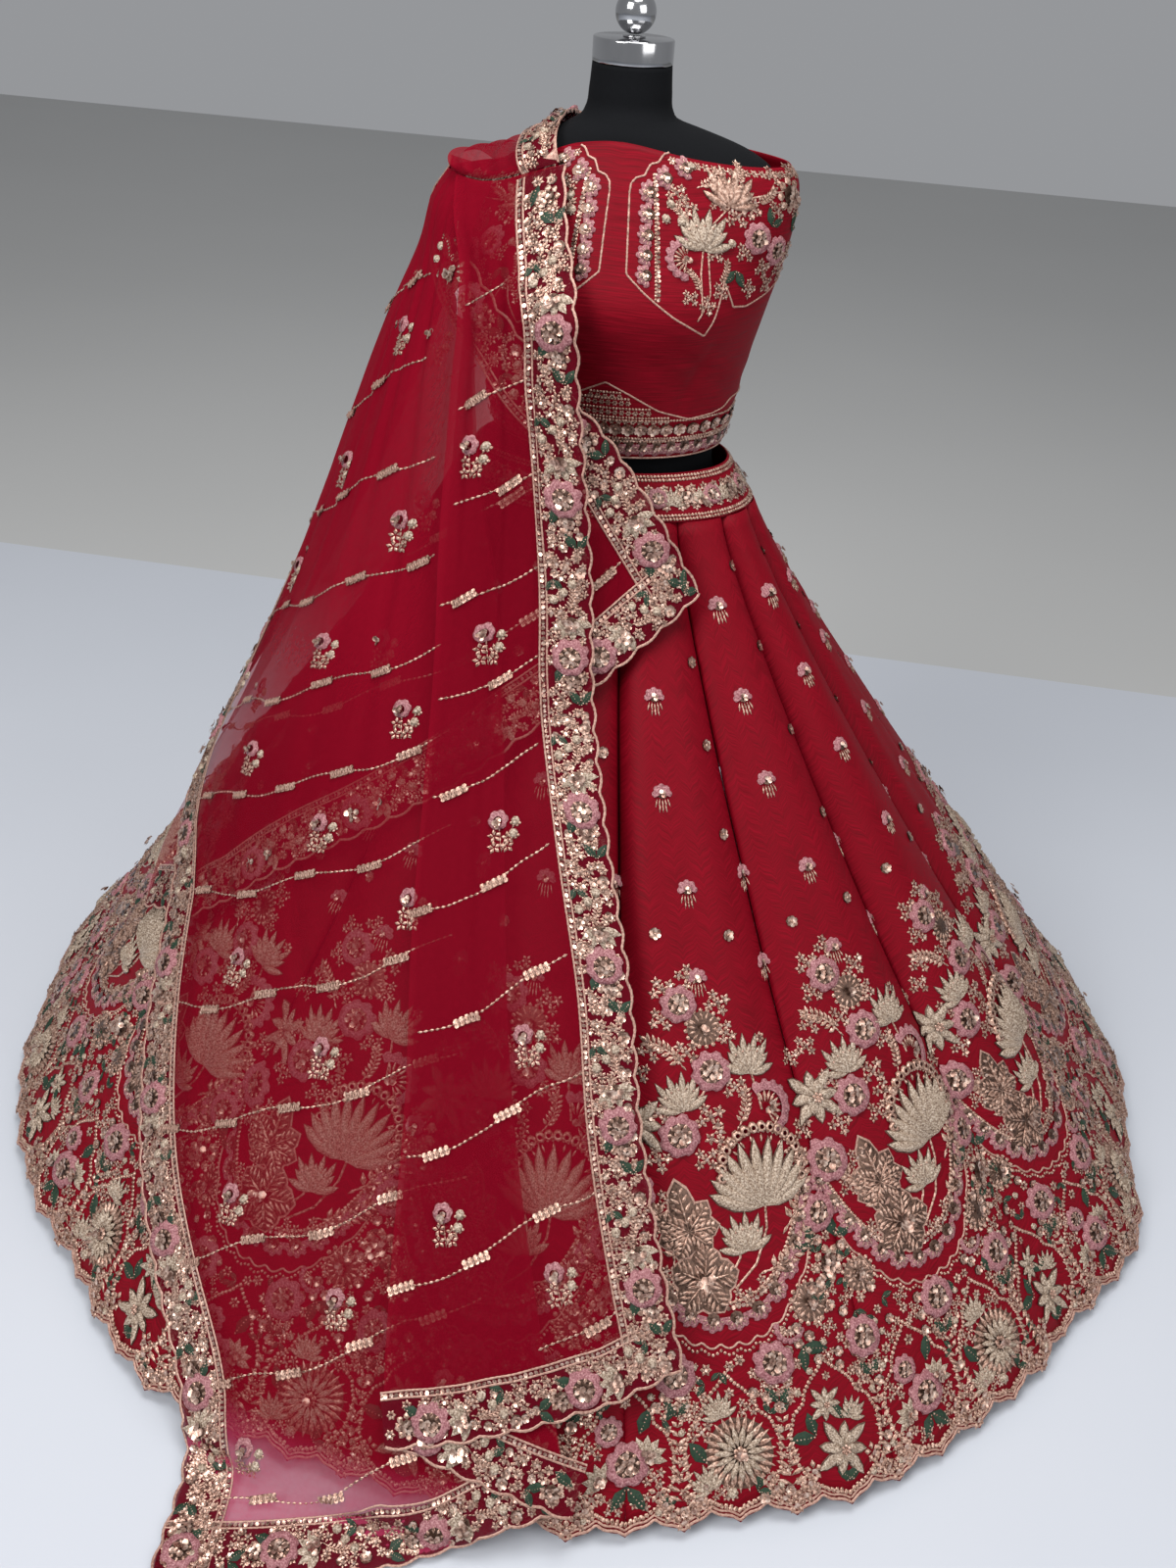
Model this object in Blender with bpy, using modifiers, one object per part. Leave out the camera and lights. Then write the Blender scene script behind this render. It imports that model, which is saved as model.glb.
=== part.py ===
"""Lehenga choli on a limbless dress form: blouse, flared skirt of sixteen kalis and a net dupatta.

Metres, +Z up, origin at the centre of the stand base's underside. The front faces -Y.
A turn is an angle about +Z in degrees, 0 at the front and growing towards +X.
"""

import math

import bmesh
import bpy
import numpy as np
from mathutils import Vector

# Clearances and cloth walls
SEAM_GAP = 0.0003
SEAT_GAP = 0.0003
SKIRT_WALL = 0.0020
CHOLI_WALL = 0.0016
NET_WALL = 0.0010

# Dress form and stand
NECK_TOP_Z = 1.3259
CAP_RADIUS = 0.0418
CAP_HEIGHT = 0.0233
CAP_BEVEL = 0.0015
COLLAR_RADIUS = 0.0120
COLLAR_HEIGHT = 0.0016
FINIAL_RADIUS = 0.0208
TORSO_BOTTOM_Z = 0.6600
TORSO_SEGMENTS = 36
POLE_RADIUS = 0.0140
BASE_RADIUS = 0.1800
BASE_HEIGHT = 0.0160
BASE_BEVEL = 0.0040

# Torso sections: height, half width, depth of the front, depth of the back
TORSO_SECTIONS = {
    "height": (0.660, 0.672, 0.700, 0.760, 0.820, 0.880, 0.930, 0.980, 1.040, 1.105,
               1.150, 1.190, 1.222, 1.243, 1.256, 1.266, 1.274, 1.284, 1.302, 1.326),
    "half_width": (0.110, 0.138, 0.152, 0.158, 0.150, 0.135, 0.123, 0.125, 0.140, 0.153,
                   0.161, 0.166, 0.162, 0.148, 0.120, 0.085, 0.055, 0.0455, 0.0430, 0.0412),
    "front": (0.076, 0.092, 0.100, 0.102, 0.098, 0.091, 0.086, 0.089, 0.103, 0.120,
              0.109, 0.094, 0.081, 0.073, 0.067, 0.062, 0.055, 0.0460, 0.0430, 0.0412),
    "back": (0.082, 0.098, 0.108, 0.112, 0.104, 0.090, 0.077, 0.079, 0.088, 0.094,
             0.092, 0.085, 0.075, 0.068, 0.062, 0.056, 0.050, 0.0455, 0.0430, 0.0412),
}

# The form's right shoulder sits lower: the most that it drops, and where the drop comes in
SHOULDER_DROP = 0.0300
SHOULDER_DROP_X = (-0.035, -0.150)
SHOULDER_DROP_Z = (1.040, 1.200)

# Choli sections, outer face: height, half width, depth of the front, depth of the back
CHOLI_BOTTOM_Z = 0.942
CHOLI_TOP_Z = 1.262
CHOLI_TOP_DROP = 0.018
CHOLI_SECTIONS = {
    "height": (0.940, 0.965, 1.000, 1.050, 1.105, 1.150, 1.190, 1.215, 1.236, 1.250, 1.264),
    "half_width": (0.132, 0.138, 0.145, 0.155, 0.168, 0.179, 0.185, 0.186, 0.180, 0.166, 0.150),
    "front": (0.100, 0.102, 0.108, 0.120, 0.135, 0.122, 0.106, 0.094, 0.084, 0.077, 0.071),
    "back": (0.088, 0.087, 0.090, 0.094, 0.0965, 0.0942, 0.0880, 0.0815, 0.0755, 0.0705, 0.0655),
}
BUST_POINT_TURN = 37.0
BUST_POINT_Z = 1.105
BUST_FULLNESS = 0.009
BUST_TURN_WIDTH = 24.0
BUST_HEIGHT_WIDTH = 0.050
CHOLI_SEAM_RADIUS = 0.080
CHOLI_ROWS = 10

# Lehenga
WAIST_TOP_Z = 0.930
WAISTBAND_HEIGHT = 0.048
# How far the waistband leans in at its top: at the back, and what the front and sides add
WAISTBAND_FLARE = 0.016
WAISTBAND_FRONT_FLARE = 0.008
WAISTBAND_SIDE_FLARE = 0.018
WAISTBAND_COLUMNS = 48
WAISTBAND_ROWS = 2
SKIRT_TOP_Z = WAIST_TOP_Z - WAISTBAND_HEIGHT
SKIRT_TOP_RADIUS = 0.178
WAIST_DEPTH = 0.1160
WAIST_SHIFT = -0.0200
HEM_RADIUS = 0.806
HEM_DEPTH = 0.790
HEM_SHIFT = 0.025
HEM_Z = 0.014
FLARE_POWER = 1.12
FOLD_FULLEST = 1.25
FOLD_SHARPNESS = 2.6
SUPPORT_TROUGH_SHARE = 0.65
SUPPORT_WAVE_SHARE = 1.2
SUPPORT_CLEARANCE = 0.003
KALIS = 16
KALI_TURN = 360.0 / KALIS
FIRST_SEAM_TURN = 13.0
KALI_COLUMNS = 10
KALI_ROWS = 10
HEM_POINTS = 5
HEM_POINT_DEPTH = 0.014
HEM_POINT_SHARPNESS = 1.8

# Fold depth down the skirt: share of the drop, depth of the seam trough, height of the hem waves
SKIRT_FOLDS = {
    "drop": (0.00, 0.08, 0.30, 0.50, 0.70, 0.85, 1.00),
    "trough": (0.006, 0.012, 0.022, 0.024, 0.016, 0.010, 0.010),
    "wave": (0.000, 0.000, 0.001, 0.003, 0.006, 0.010, 0.014),
}
# Each kali's own fullness and how far its fold leans, from the first seam round
KALI_FULLNESS = (1.10, 0.95, 1.20, 0.80, 1.00, 1.25, 0.85, 1.05,
                 0.90, 1.15, 1.00, 0.80, 1.20, 0.95, 1.05, 0.85)
KALI_LEAN = (0.10, -0.06, 0.08, 0.12, -0.10, 0.05, 0.09, -0.08,
             0.06, 0.11, -0.05, 0.08, -0.09, 0.07, 0.10, -0.07)

# Hem waves: waves round the hem, turn of the first crest, share of the wave height
HEM_WAVES = {
    "count": (7, 11, 17),
    "first_crest": (24.0, 6.0, 11.0),
    "share": (0.50, 0.60, 0.45),
}

# Support that the dupatta hangs on, above the skirt: height, half width, front, back
DRAPE_SECTIONS = {
    "height": (0.882, 0.930, 0.965, 1.000, 1.050, 1.105, 1.150, 1.190, 1.215, 1.240),
    "half_width": (0.196, 0.176, 0.158, 0.156, 0.164, 0.177, 0.187, 0.192, 0.189, 0.176),
    "front": (0.152, 0.136, 0.118, 0.120, 0.131, 0.150, 0.132, 0.113, 0.098, 0.083),
    "back": (0.130, 0.112, 0.104, 0.106, 0.110, 0.112, 0.109, 0.099, 0.088, 0.075),
}
# Where the net leaves the shoulder or bust and where it meets the skirt, by turn
DRAPE_TENT = {
    "turn": (-135, -112, -92, -75, -58, -40, -22, 0, 20, 45),
    "from_z": (1.215, 1.215, 1.215, 1.210, 1.200, 1.170, 1.130, 1.105, 1.105, 1.105),
    "meet_z": (0.600, 0.490, 0.430, 0.430, 0.470, 0.540, 0.640, 0.740, 0.790, 0.830),
}
DRAPE_SAG = 0.016
DRAPE_BLEND = 0.030
DRAPE_BLEND_FADE = 12.0
DRAPE_TOP_Z = 1.240
DRAPE_HEM_Z = 0.034
DRAPE_FLOOR_Z = 0.0040
FLOOR_CURVE = 0.020
RIPPLE_TURN = 30.0
RIPPLE_DEPTH = 0.005

# The dupatta's stretches, lowest first: lift off the support, then its edges by height and turn.
# A height under the hem is a reach over the floor. The lower edge goes from right (0) to left (1).
STRETCHES = {
    "dupatta_under_end": {
        "lift": 0.004, "shoulder_lift": 0.0018,
        "right": {"height": (0.826, 0.891, 0.956, 1.020, 1.045, 1.093, 1.170, 1.240),
                  "turn": (39.4, 29.3, 15.8, -2.7, -13.4, -29.7, -56.0, -76.0)},
        "left": {"height": (0.315, 0.360, 0.450, 0.600, 0.800, 1.000, 1.240),
                 "turn": (-66.0, -78.0, -90.0, -97.0, -103.0, -107.0, -108.0)},
        "lower": {"across": (0.00, 0.11, 0.22, 0.33, 0.45, 0.57, 0.70, 0.78, 1.00),
                  "height": (0.826, 0.784, 0.737, 0.685, 0.608, 0.525, 0.420, 0.372, 0.315)},
        "columns": 16, "rows": 12,
    },
    "dupatta_left_fall": {
        "lift": 0.013, "shoulder_lift": 0.0041,
        "right": {"height": (0.065, 0.150, 0.350, 0.600, 0.850, 1.000, 1.240),
                  "turn": (10.5, 8.5, 3.0, -5.5, -20.0, -34.0, -62.0)},
        "left": {"height": (-0.114, 0.000, 0.067, 0.121, 0.177, 0.254, 0.347, 0.386, 0.430,
                            0.500, 0.700, 1.000, 1.240),
                 "turn": (-16.3, -19.5, -22.7, -29.1, -36.2, -45.0, -55.8, -60.5, -72.0,
                          -86.0, -98.0, -105.0, -106.0)},
        "lower": {"across": (0.00, 0.18, 0.42, 0.66, 1.00),
                  "height": (0.065, 0.041, -0.015, -0.053, -0.114)},
        "columns": 14, "rows": 18,
    },
    "dupatta_turned_under": {
        "lift": 0.020, "shoulder_lift": 0.0064,
        "right": {"height": (0.065, 0.150, 0.350, 0.600, 0.850, 1.000, 1.240),
                  "turn": (10.7, 8.7, 3.2, -5.2, -19.6, -33.5, -61.0)},
        "left": {"height": (0.095, 0.138, 0.222, 0.381, 0.615, 0.831, 1.019, 1.197, 1.240),
                 "turn": (-3.6, -4.7, -6.4, -10.0, -20.2, -28.9, -41.0, -61.5, -75.0)},
        "lower": {"across": (0.00, 0.50, 1.00), "height": (0.062, 0.082, 0.097)},
        "columns": 5, "rows": 14,
    },
    "dupatta_front_fall": {
        "lift": 0.027, "shoulder_lift": 0.0087,
        "right": {"height": (0.181, 0.271, 0.377, 0.491, 0.616, 0.747, 0.845, 0.946, 1.042,
                             1.132, 1.190, 1.240),
                  "turn": (19.5, 18.0, 16.5, 15.6, 12.2, 8.1, 6.1, 2.2, -2.5,
                           -7.3, -18.0, -29.0)},
        "left": {"height": (0.095, 0.138, 0.222, 0.381, 0.615, 0.831, 1.019, 1.197, 1.240),
                 "turn": (-4.0, -5.1, -6.8, -10.4, -20.6, -29.3, -41.5, -62.5, -76.0)},
        "lower": {"across": (0.00, 0.19, 0.40, 0.72, 1.00),
                  "height": (0.179, 0.158, 0.140, 0.115, 0.095)},
        "columns": 10, "rows": 18,
    },
}
LIFT_SPREAD = 0.300
# Heights of the net's top rows, the same on every stretch so that they lie on each other
SHOULDER_ROWS = (1.240, 1.225, 1.200, 1.165, 1.120, 1.060, 0.980)

# Pleats over the form's right shoulder: share across, crest and ends of each section
SHOULDER_PLEATS = {
    "across": (0.00, 0.25, 0.50, 0.75, 1.00),
    "front_turn": (-32.0, -45.0, -57.0, -68.0, -78.0),
    "back_turn": (-150.0, -138.0, -127.0, -117.0, -108.0),
    "crest_x": (-0.066, -0.096, -0.126, -0.155, -0.184),
    "crest_z": (1.2762, 1.2731, 1.2676, 1.2630, 1.2560),
}
PLEATS = 6
PLEAT_DEPTH = 0.0025
PLEAT_WALL = 0.0030
PLEAT_FOOT_GAP = 0.0018
PLEAT_FOOT_LIFT = 0.0070
PLEAT_COLUMNS = 18
PLEAT_ROWS = 6

# Colour, metallic and roughness of each material
FINISHES = {
    "red_silk": ((0.38, 0.004, 0.018), 0.0, 0.55),
    "red_net": ((0.42, 0.006, 0.024), 0.0, 0.60),
    "black_form": ((0.006, 0.006, 0.007), 0.0, 0.85),
    "chrome": ((0.75, 0.75, 0.77), 1.0, 0.12),
    "black_stand": ((0.012, 0.012, 0.013), 0.4, 0.45),
}


def table(columns, key, name, value):
    """Reads one column of a table at a value of its key column, straight between the rows."""
    return np.interp(value, columns[key], columns[name])


def smooth_table(columns, key, name, value):
    """Reads one column of a table with a curve through its rows."""
    keys = np.asarray(columns[key], float)
    values = np.asarray(columns[name], float)
    slopes = np.gradient(values, keys)
    place = int(np.clip(np.searchsorted(keys, value) - 1, 0, len(keys) - 2))
    span = keys[place + 1] - keys[place]
    share = min(max((value - keys[place]) / span, 0.0), 1.0)
    rise = values[place + 1] - values[place]
    secant = rise / span
    low = limited_slope(slopes[place], secant) * span
    high = limited_slope(slopes[place + 1], secant) * span
    bend = share * share * (3.0 - 2.0 * share)
    start = share * (1.0 - share) ** 2
    end = share * share * (share - 1.0)
    return float(values[place] + rise * bend + low * start + high * end)


def limited_slope(slope, secant):
    """Keeps a curve between its rows from overshooting them."""
    if slope * secant <= 0.0:
        return 0.0
    return math.copysign(min(abs(slope), 3.0 * abs(secant)), secant)


def oval_radius(sections, turn, height):
    """Distance from the axis to an oval section's outline, in the direction of a turn."""
    across = smooth_table(sections, "height", "half_width", height)
    side = "front" if math.cos(math.radians(turn)) >= 0.0 else "back"
    deep = smooth_table(sections, "height", side, height)
    sine = math.sin(math.radians(turn)) / across
    cosine = math.cos(math.radians(turn)) / deep
    return 1.0 / math.hypot(sine, cosine)


def eased(value, start, end):
    """Share of the way from start to end, with soft ends."""
    share = min(max((value - start) / (end - start), 0.0), 1.0)
    return share * share * (3.0 - 2.0 * share)


def dropped(point):
    """A point above the waist, lowered where the form's right shoulder drops."""
    drop = SHOULDER_DROP * eased(point.x, *SHOULDER_DROP_X) * eased(point.z, *SHOULDER_DROP_Z)
    return point - Vector((0.0, 0.0, drop))


def place(turn, radius, height):
    """Point at a turn, a distance from the axis and a height."""
    angle = math.radians(turn)
    return dropped(Vector((radius * math.sin(angle), -radius * math.cos(angle), height)))


def torso_point(turn, height):
    """Point on the dress form's torso."""
    return place(turn, oval_radius(TORSO_SECTIONS, turn, height), height)


def choli_point(turn, height):
    """Point on the choli's outer face, fuller over each bust point."""
    radius = oval_radius(CHOLI_SECTIONS, turn, height)
    for centre in (-BUST_POINT_TURN, BUST_POINT_TURN):
        across = (turn - centre) / BUST_TURN_WIDTH
        along = (height - BUST_POINT_Z) / BUST_HEIGHT_WIDTH
        radius += BUST_FULLNESS * math.exp(-across * across - along * along)
    return place(turn, radius, height)


def skirt_section(drop):
    """Centre, half width and half depth of the skirt's plain oval at a share of its drop."""
    flare = drop ** FLARE_POWER
    centre_x = HEM_SHIFT * flare
    centre_y = WAIST_SHIFT * (1.0 - flare)
    half_width = SKIRT_TOP_RADIUS + (HEM_RADIUS - SKIRT_TOP_RADIUS) * flare
    half_depth = WAIST_DEPTH + (HEM_DEPTH - WAIST_DEPTH) * flare
    return centre_x, centre_y, half_width, half_depth


def skirt_slope(drop):
    """Outward and upward parts of the direction that stands off the skirt's face."""
    rise = SKIRT_TOP_Z - HEM_Z
    spread = (HEM_RADIUS - SKIRT_TOP_RADIUS) * FLARE_POWER * max(drop, 0.01) ** (FLARE_POWER - 1.0)
    length = math.hypot(rise, spread)
    return rise / length, spread / length


def seam_distance(turn, drop):
    """Place across a kali, -0.5 and 0.5 at its seams, and the kali's number."""
    across = (turn - FIRST_SEAM_TURN) / KALI_TURN
    kali = int(math.floor(across)) % KALIS
    share = across - math.floor(across)
    lean = KALI_LEAN[kali] * math.sin(math.pi * share)
    return share + lean - 0.5, kali


def skirt_swell(turn, drop):
    """How far the folds and hem waves lift the skirt off its plain cone."""
    share, kali = seam_distance(turn, drop)
    trough = table(SKIRT_FOLDS, "drop", "trough", drop) * KALI_FULLNESS[kali]
    trough = min(trough, table(SKIRT_FOLDS, "drop", "trough", drop) * FOLD_FULLEST)
    fold = trough * (0.5 - min(abs(2.0 * share), 1.0) ** FOLD_SHARPNESS)
    height = table(SKIRT_FOLDS, "drop", "wave", drop)
    wave = 0.0
    for count, crest, part in zip(*HEM_WAVES.values()):
        wave += part * math.cos(math.radians((turn - crest) * count))
    return fold + height * wave


def skirt_point(turn, drop, lift=0.0):
    """Point on the skirt's outer face: turn, share of the drop and distance off the face."""
    centre_x, centre_y, half_width, half_depth = skirt_section(drop)
    out, up = skirt_slope(drop)
    off = lift + skirt_swell(turn, drop)
    sine = math.sin(math.radians(turn))
    cosine = math.cos(math.radians(turn))
    height = SKIRT_TOP_Z + (HEM_Z - SKIRT_TOP_Z) * drop
    level = lift + (off - lift) * (1.0 - drop)
    return Vector((centre_x + (half_width + out * off) * sine,
                   centre_y - (half_depth + out * off) * cosine,
                   height + up * level))


def hem_drop(turn):
    """Share of the drop at the hem's pointed edge: an ogee between each two points."""
    points = (turn - FIRST_SEAM_TURN) / (KALI_TURN / HEM_POINTS)
    share = 2.0 * abs(points - round(points))
    side = 2.0 * share - 1.0
    rise = 0.5 + 0.5 * math.copysign(abs(side) ** HEM_POINT_SHARPNESS, side)
    return 1.0 - HEM_POINT_DEPTH * rise


def waistband_point(turn, height):
    """Point on the waistband's outer face, which flares down to the skirt's top."""
    angle = math.radians(turn)
    flare = WAISTBAND_FLARE + WAISTBAND_SIDE_FLARE * math.sin(angle) ** 2
    flare += WAISTBAND_FRONT_FLARE * max(math.cos(angle), 0.0) ** 2
    flare *= (height - SKIRT_TOP_Z) / WAISTBAND_HEIGHT
    across = SKIRT_TOP_RADIUS - flare
    deep = WAIST_DEPTH - flare
    return Vector((across * math.sin(angle), WAIST_SHIFT - deep * math.cos(angle), height))


def skirt_support(turn, height):
    """Distance from the axis to the tops of the skirt's folds, at a turn and a height."""
    drop = min((SKIRT_TOP_Z - height) / (SKIRT_TOP_Z - HEM_Z), 1.0)
    centre_x, centre_y, half_width, half_depth = skirt_section(drop)
    trough = table(SKIRT_FOLDS, "drop", "trough", drop)
    wave = table(SKIRT_FOLDS, "drop", "wave", drop)
    clear = (SUPPORT_TROUGH_SHARE * trough + SUPPORT_WAVE_SHARE * wave) / skirt_slope(drop)[0]
    clear += SUPPORT_CLEARANCE
    across = half_width + clear
    deep = half_depth + clear
    sine = math.sin(math.radians(turn)) / across
    cosine = -math.cos(math.radians(turn)) / deep
    shift_x = centre_x / across
    shift_y = centre_y / deep
    square = sine * sine + cosine * cosine
    half = sine * shift_x + cosine * shift_y
    rest = shift_x * shift_x + shift_y * shift_y - 1.0
    return (half + math.sqrt(half * half - square * rest)) / square


def body_support(turn, height):
    """Distance from the axis to what the net would lie on if it were pressed flat."""
    above = oval_radius(DRAPE_SECTIONS, turn, max(height, SKIRT_TOP_Z))
    if height >= SKIRT_TOP_Z:
        return above
    return max(skirt_support(turn, height), above)


def drape_radius(turn, height):
    """Distance from the axis to the hanging net, which bridges from the shoulder to the skirt."""
    radius = body_support(turn, height)
    top = float(np.interp(turn, DRAPE_TENT["turn"], DRAPE_TENT["from_z"]))
    foot = float(np.interp(turn, DRAPE_TENT["turn"], DRAPE_TENT["meet_z"]))
    share = (top - height) / (top - foot)
    if not 0.0 < share < 1.0:
        outside = min(abs(share), abs(share - 1.0))
        return radius + 0.5 * DRAPE_BLEND * math.exp(-DRAPE_BLEND_FADE * outside)
    start = body_support(turn, top)
    end = body_support(turn, foot)
    swing = math.sin(math.pi * share)
    line = start + (end - start) * share - DRAPE_SAG * swing
    line += RIPPLE_DEPTH * swing * math.cos(math.radians(turn * 360.0 / RIPPLE_TURN))
    return 0.5 * (radius + line + math.hypot(radius - line, DRAPE_BLEND))


def layer_lift(stretch, height):
    """Lift of a stretch, pressed close to the others at the shoulder."""
    share = min(max((DRAPE_TOP_Z - height) / LIFT_SPREAD, 0.0), 1.0)
    spread = share * share * (3.0 - 2.0 * share)
    return stretch["shoulder_lift"] + (stretch["lift"] - stretch["shoulder_lift"]) * spread


def drape_point(turn, height, stretch):
    """Point on a stretch of net: on the support, or past the hem out over the floor."""
    if height >= DRAPE_HEM_Z:
        return place(turn, drape_radius(turn, height) + layer_lift(stretch, height), height)
    reach = DRAPE_HEM_Z - height
    fade = math.exp(-reach / FLOOR_CURVE)
    radius = drape_radius(turn, DRAPE_HEM_Z) + stretch["lift"] + reach - FLOOR_CURVE * (1.0 - fade)
    return place(turn, radius, DRAPE_FLOOR_Z + (DRAPE_HEM_Z - DRAPE_FLOOR_Z) * fade)


def row_height(low, along, rows):
    """Height of a row: the shared ones at the shoulder, then even steps down to the edge."""
    below = rows - len(SHOULDER_ROWS) + 1
    row = rows * along
    if row >= below:
        return float(np.interp(rows - row, range(len(SHOULDER_ROWS)), SHOULDER_ROWS))
    return low + (SHOULDER_ROWS[-1] - low) * row / below


def stretch_place(stretch, across, along):
    """Turn and height of a stretch at its shares from right to left and from bottom to top."""
    low = table(stretch["lower"], "across", "height", across)
    height = row_height(low, along, stretch["rows"])
    right = smooth_table(stretch["right"], "height", "turn", height)
    left = smooth_table(stretch["left"], "height", "turn", height)
    return right + (left - right) * across, height


def stretch_point(stretch, across, along):
    """Point of a stretch's outer face."""
    turn, height = stretch_place(stretch, across, along)
    return drape_point(turn, height, stretch)


def shoulder_point(across, along):
    """Point of the pleats that go over the shoulder, from front (0) to back (1)."""
    front_turn = table(SHOULDER_PLEATS, "across", "front_turn", across)
    back_turn = table(SHOULDER_PLEATS, "across", "back_turn", across)
    foot = DRAPE_TOP_Z + PLEAT_FOOT_GAP
    front = place(front_turn, drape_radius(front_turn, foot) + PLEAT_FOOT_LIFT, foot)
    back = place(back_turn, drape_radius(back_turn, foot) + PLEAT_FOOT_LIFT, foot)
    crest = dropped(Vector((table(SHOULDER_PLEATS, "across", "crest_x", across), 0.0,
                            table(SHOULDER_PLEATS, "across", "crest_z", across))))
    swing = math.sin(math.pi * along)
    share = 0.5 - 0.5 * math.cos(math.pi * along)
    point = front.lerp(back, share)
    point += (crest - front.lerp(back, 0.5)) * swing
    pleat = PLEAT_DEPTH * swing * math.cos(2.0 * math.pi * PLEATS * across)
    return point + Vector((0.0, 0.0, pleat))


def clear_scene():
    """Removes every object that the file opens with."""
    for item in list(bpy.data.objects):
        bpy.data.objects.remove(item, do_unlink=True)


def new_collection(name):
    """Collection that holds the garment's pieces."""
    collection = bpy.data.collections.new(name)
    bpy.context.scene.collection.children.link(collection)
    return collection


def new_material(name, colour, metallic, roughness):
    """Plain Principled material."""
    material = bpy.data.materials.new(name)
    material.use_nodes = True
    shader = material.node_tree.nodes["Principled BSDF"]
    shader.inputs["Base Color"].default_value = (*colour, 1.0)
    shader.inputs["Metallic"].default_value = metallic
    shader.inputs["Roughness"].default_value = roughness
    return material


def add_object(collection, name, mesh, material):
    """Turns a bmesh into a named object with its own material slot."""
    data = bpy.data.meshes.new(name)
    mesh.normal_update()
    mesh.to_mesh(data)
    mesh.free()
    data.materials.append(material)
    item = bpy.data.objects.new(name, data)
    collection.objects.link(item)
    return item


def grid_mesh(surface, columns, rows):
    """Grid laid on a surface, which takes shares across (0 to 1) and up (0 to 1)."""
    mesh = bmesh.new()
    bmesh.ops.create_grid(mesh, x_segments=columns, y_segments=rows, size=0.5)
    for vert in mesh.verts:
        vert.co = surface(vert.co.x + 0.5, vert.co.y + 0.5)
    return mesh


def add_wall(item, wall):
    """Gives an open sheet its thickness, inwards from its outer face."""
    solidify = item.modifiers.new("wall", "SOLIDIFY")
    solidify.thickness = wall
    solidify.offset = -1.0
    solidify.use_even_offset = True
    return item


def add_bevel(item, width):
    """Rounds the edges of a hard piece."""
    bevel = item.modifiers.new("edges", "BEVEL")
    bevel.width = width
    bevel.segments = 2
    bevel.limit_method = "ANGLE"


def smooth(item, angle=40.0):
    """Shades an object smooth but for its sharp edges."""
    item.data.shade_smooth()
    item.data.set_sharp_from_angle(angle=math.radians(angle))


def build_torso(collection, material):
    """Torso and neck of the dress form: oval sections closed at the neck's top and the hips."""
    heights = TORSO_SECTIONS["height"]
    rows = len(heights) - 1

    def surface(across, up):
        return torso_point(360.0 * across, heights[round(up * rows)])

    mesh = grid_mesh(surface, TORSO_SEGMENTS, rows)
    bmesh.ops.remove_doubles(mesh, verts=mesh.verts, dist=1e-5)
    open_edges = [edge for edge in mesh.edges if edge.is_boundary]
    bmesh.ops.holes_fill(mesh, edges=open_edges, sides=TORSO_SEGMENTS)
    smooth(add_object(collection, "form_torso", mesh, material))


def add_turned(collection, name, radius, bottom, height, material, segments=32):
    """Round piece that stands on a height."""
    mesh = bmesh.new()
    bmesh.ops.create_cone(mesh, cap_ends=True, segments=segments, radius1=radius,
                          radius2=radius, depth=height)
    item = add_object(collection, name, mesh, material)
    item.location.z = bottom + 0.5 * height
    smooth(item)
    return item


def build_stand(collection, chrome, paint):
    """Neck cap, its collar and ball, and the pole and plate that carry the form."""
    cap_bottom = NECK_TOP_Z + SEAT_GAP
    cap = add_turned(collection, "form_neck_cap", CAP_RADIUS, cap_bottom, CAP_HEIGHT, chrome, 40)
    add_bevel(cap, CAP_BEVEL)
    collar_bottom = cap_bottom + CAP_HEIGHT + SEAT_GAP
    add_turned(collection, "form_finial_collar", COLLAR_RADIUS, collar_bottom, COLLAR_HEIGHT,
               chrome, 24)
    ball = bmesh.new()
    bmesh.ops.create_uvsphere(ball, u_segments=24, v_segments=12, radius=FINIAL_RADIUS)
    finial = add_object(collection, "form_finial_ball", ball, chrome)
    finial.location.z = collar_bottom + COLLAR_HEIGHT + SEAT_GAP + FINIAL_RADIUS
    smooth(finial)
    plate = add_turned(collection, "stand_base", BASE_RADIUS, 0.0, BASE_HEIGHT, paint, 48)
    add_bevel(plate, BASE_BEVEL)
    pole_bottom = BASE_HEIGHT + SEAT_GAP
    pole_height = TORSO_BOTTOM_Z - SEAT_GAP - pole_bottom
    add_turned(collection, "stand_pole", POLE_RADIUS, pole_bottom, pole_height, paint, 20)


def choli_turn(across, middle):
    """Turn of a choli column: every ten degrees, with a narrow column at each side seam."""
    seam = 90.0 - math.degrees(0.5 * SEAM_GAP / CHOLI_SEAM_RADIUS)
    steps = [-seam, -88.0] + [float(step) for step in range(-80, 81, 10)] + [88.0, seam]
    return middle + steps[round(across * (len(steps) - 1))]


def build_choli(collection, material):
    """Front and back of the choli, sewn at the sides, open at the top and at the waist."""
    columns = len(range(-80, 81, 10)) + 3
    for name, middle in (("choli_front", 0.0), ("choli_back", 180.0)):

        def surface(across, up, middle=middle):
            turn = choli_turn(across, middle)
            top = CHOLI_TOP_Z - CHOLI_TOP_DROP * math.sin(math.radians(turn)) ** 2
            return choli_point(turn, CHOLI_BOTTOM_Z + (top - CHOLI_BOTTOM_Z) * up)

        mesh = grid_mesh(surface, columns, CHOLI_ROWS)
        item = add_wall(add_object(collection, name, mesh, material), CHOLI_WALL)
        smooth(item)


def build_waistband(collection, material):
    """The lehenga's waistband, one ring."""

    def surface(across, up):
        foot = SKIRT_TOP_Z + SEAM_GAP
        return waistband_point(360.0 * across, foot + (WAIST_TOP_Z - foot) * up)

    mesh = grid_mesh(surface, WAISTBAND_COLUMNS, WAISTBAND_ROWS)
    bmesh.ops.remove_doubles(mesh, verts=mesh.verts, dist=1e-5)
    smooth(add_wall(add_object(collection, "lehenga_waistband", mesh, material), SKIRT_WALL))


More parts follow.
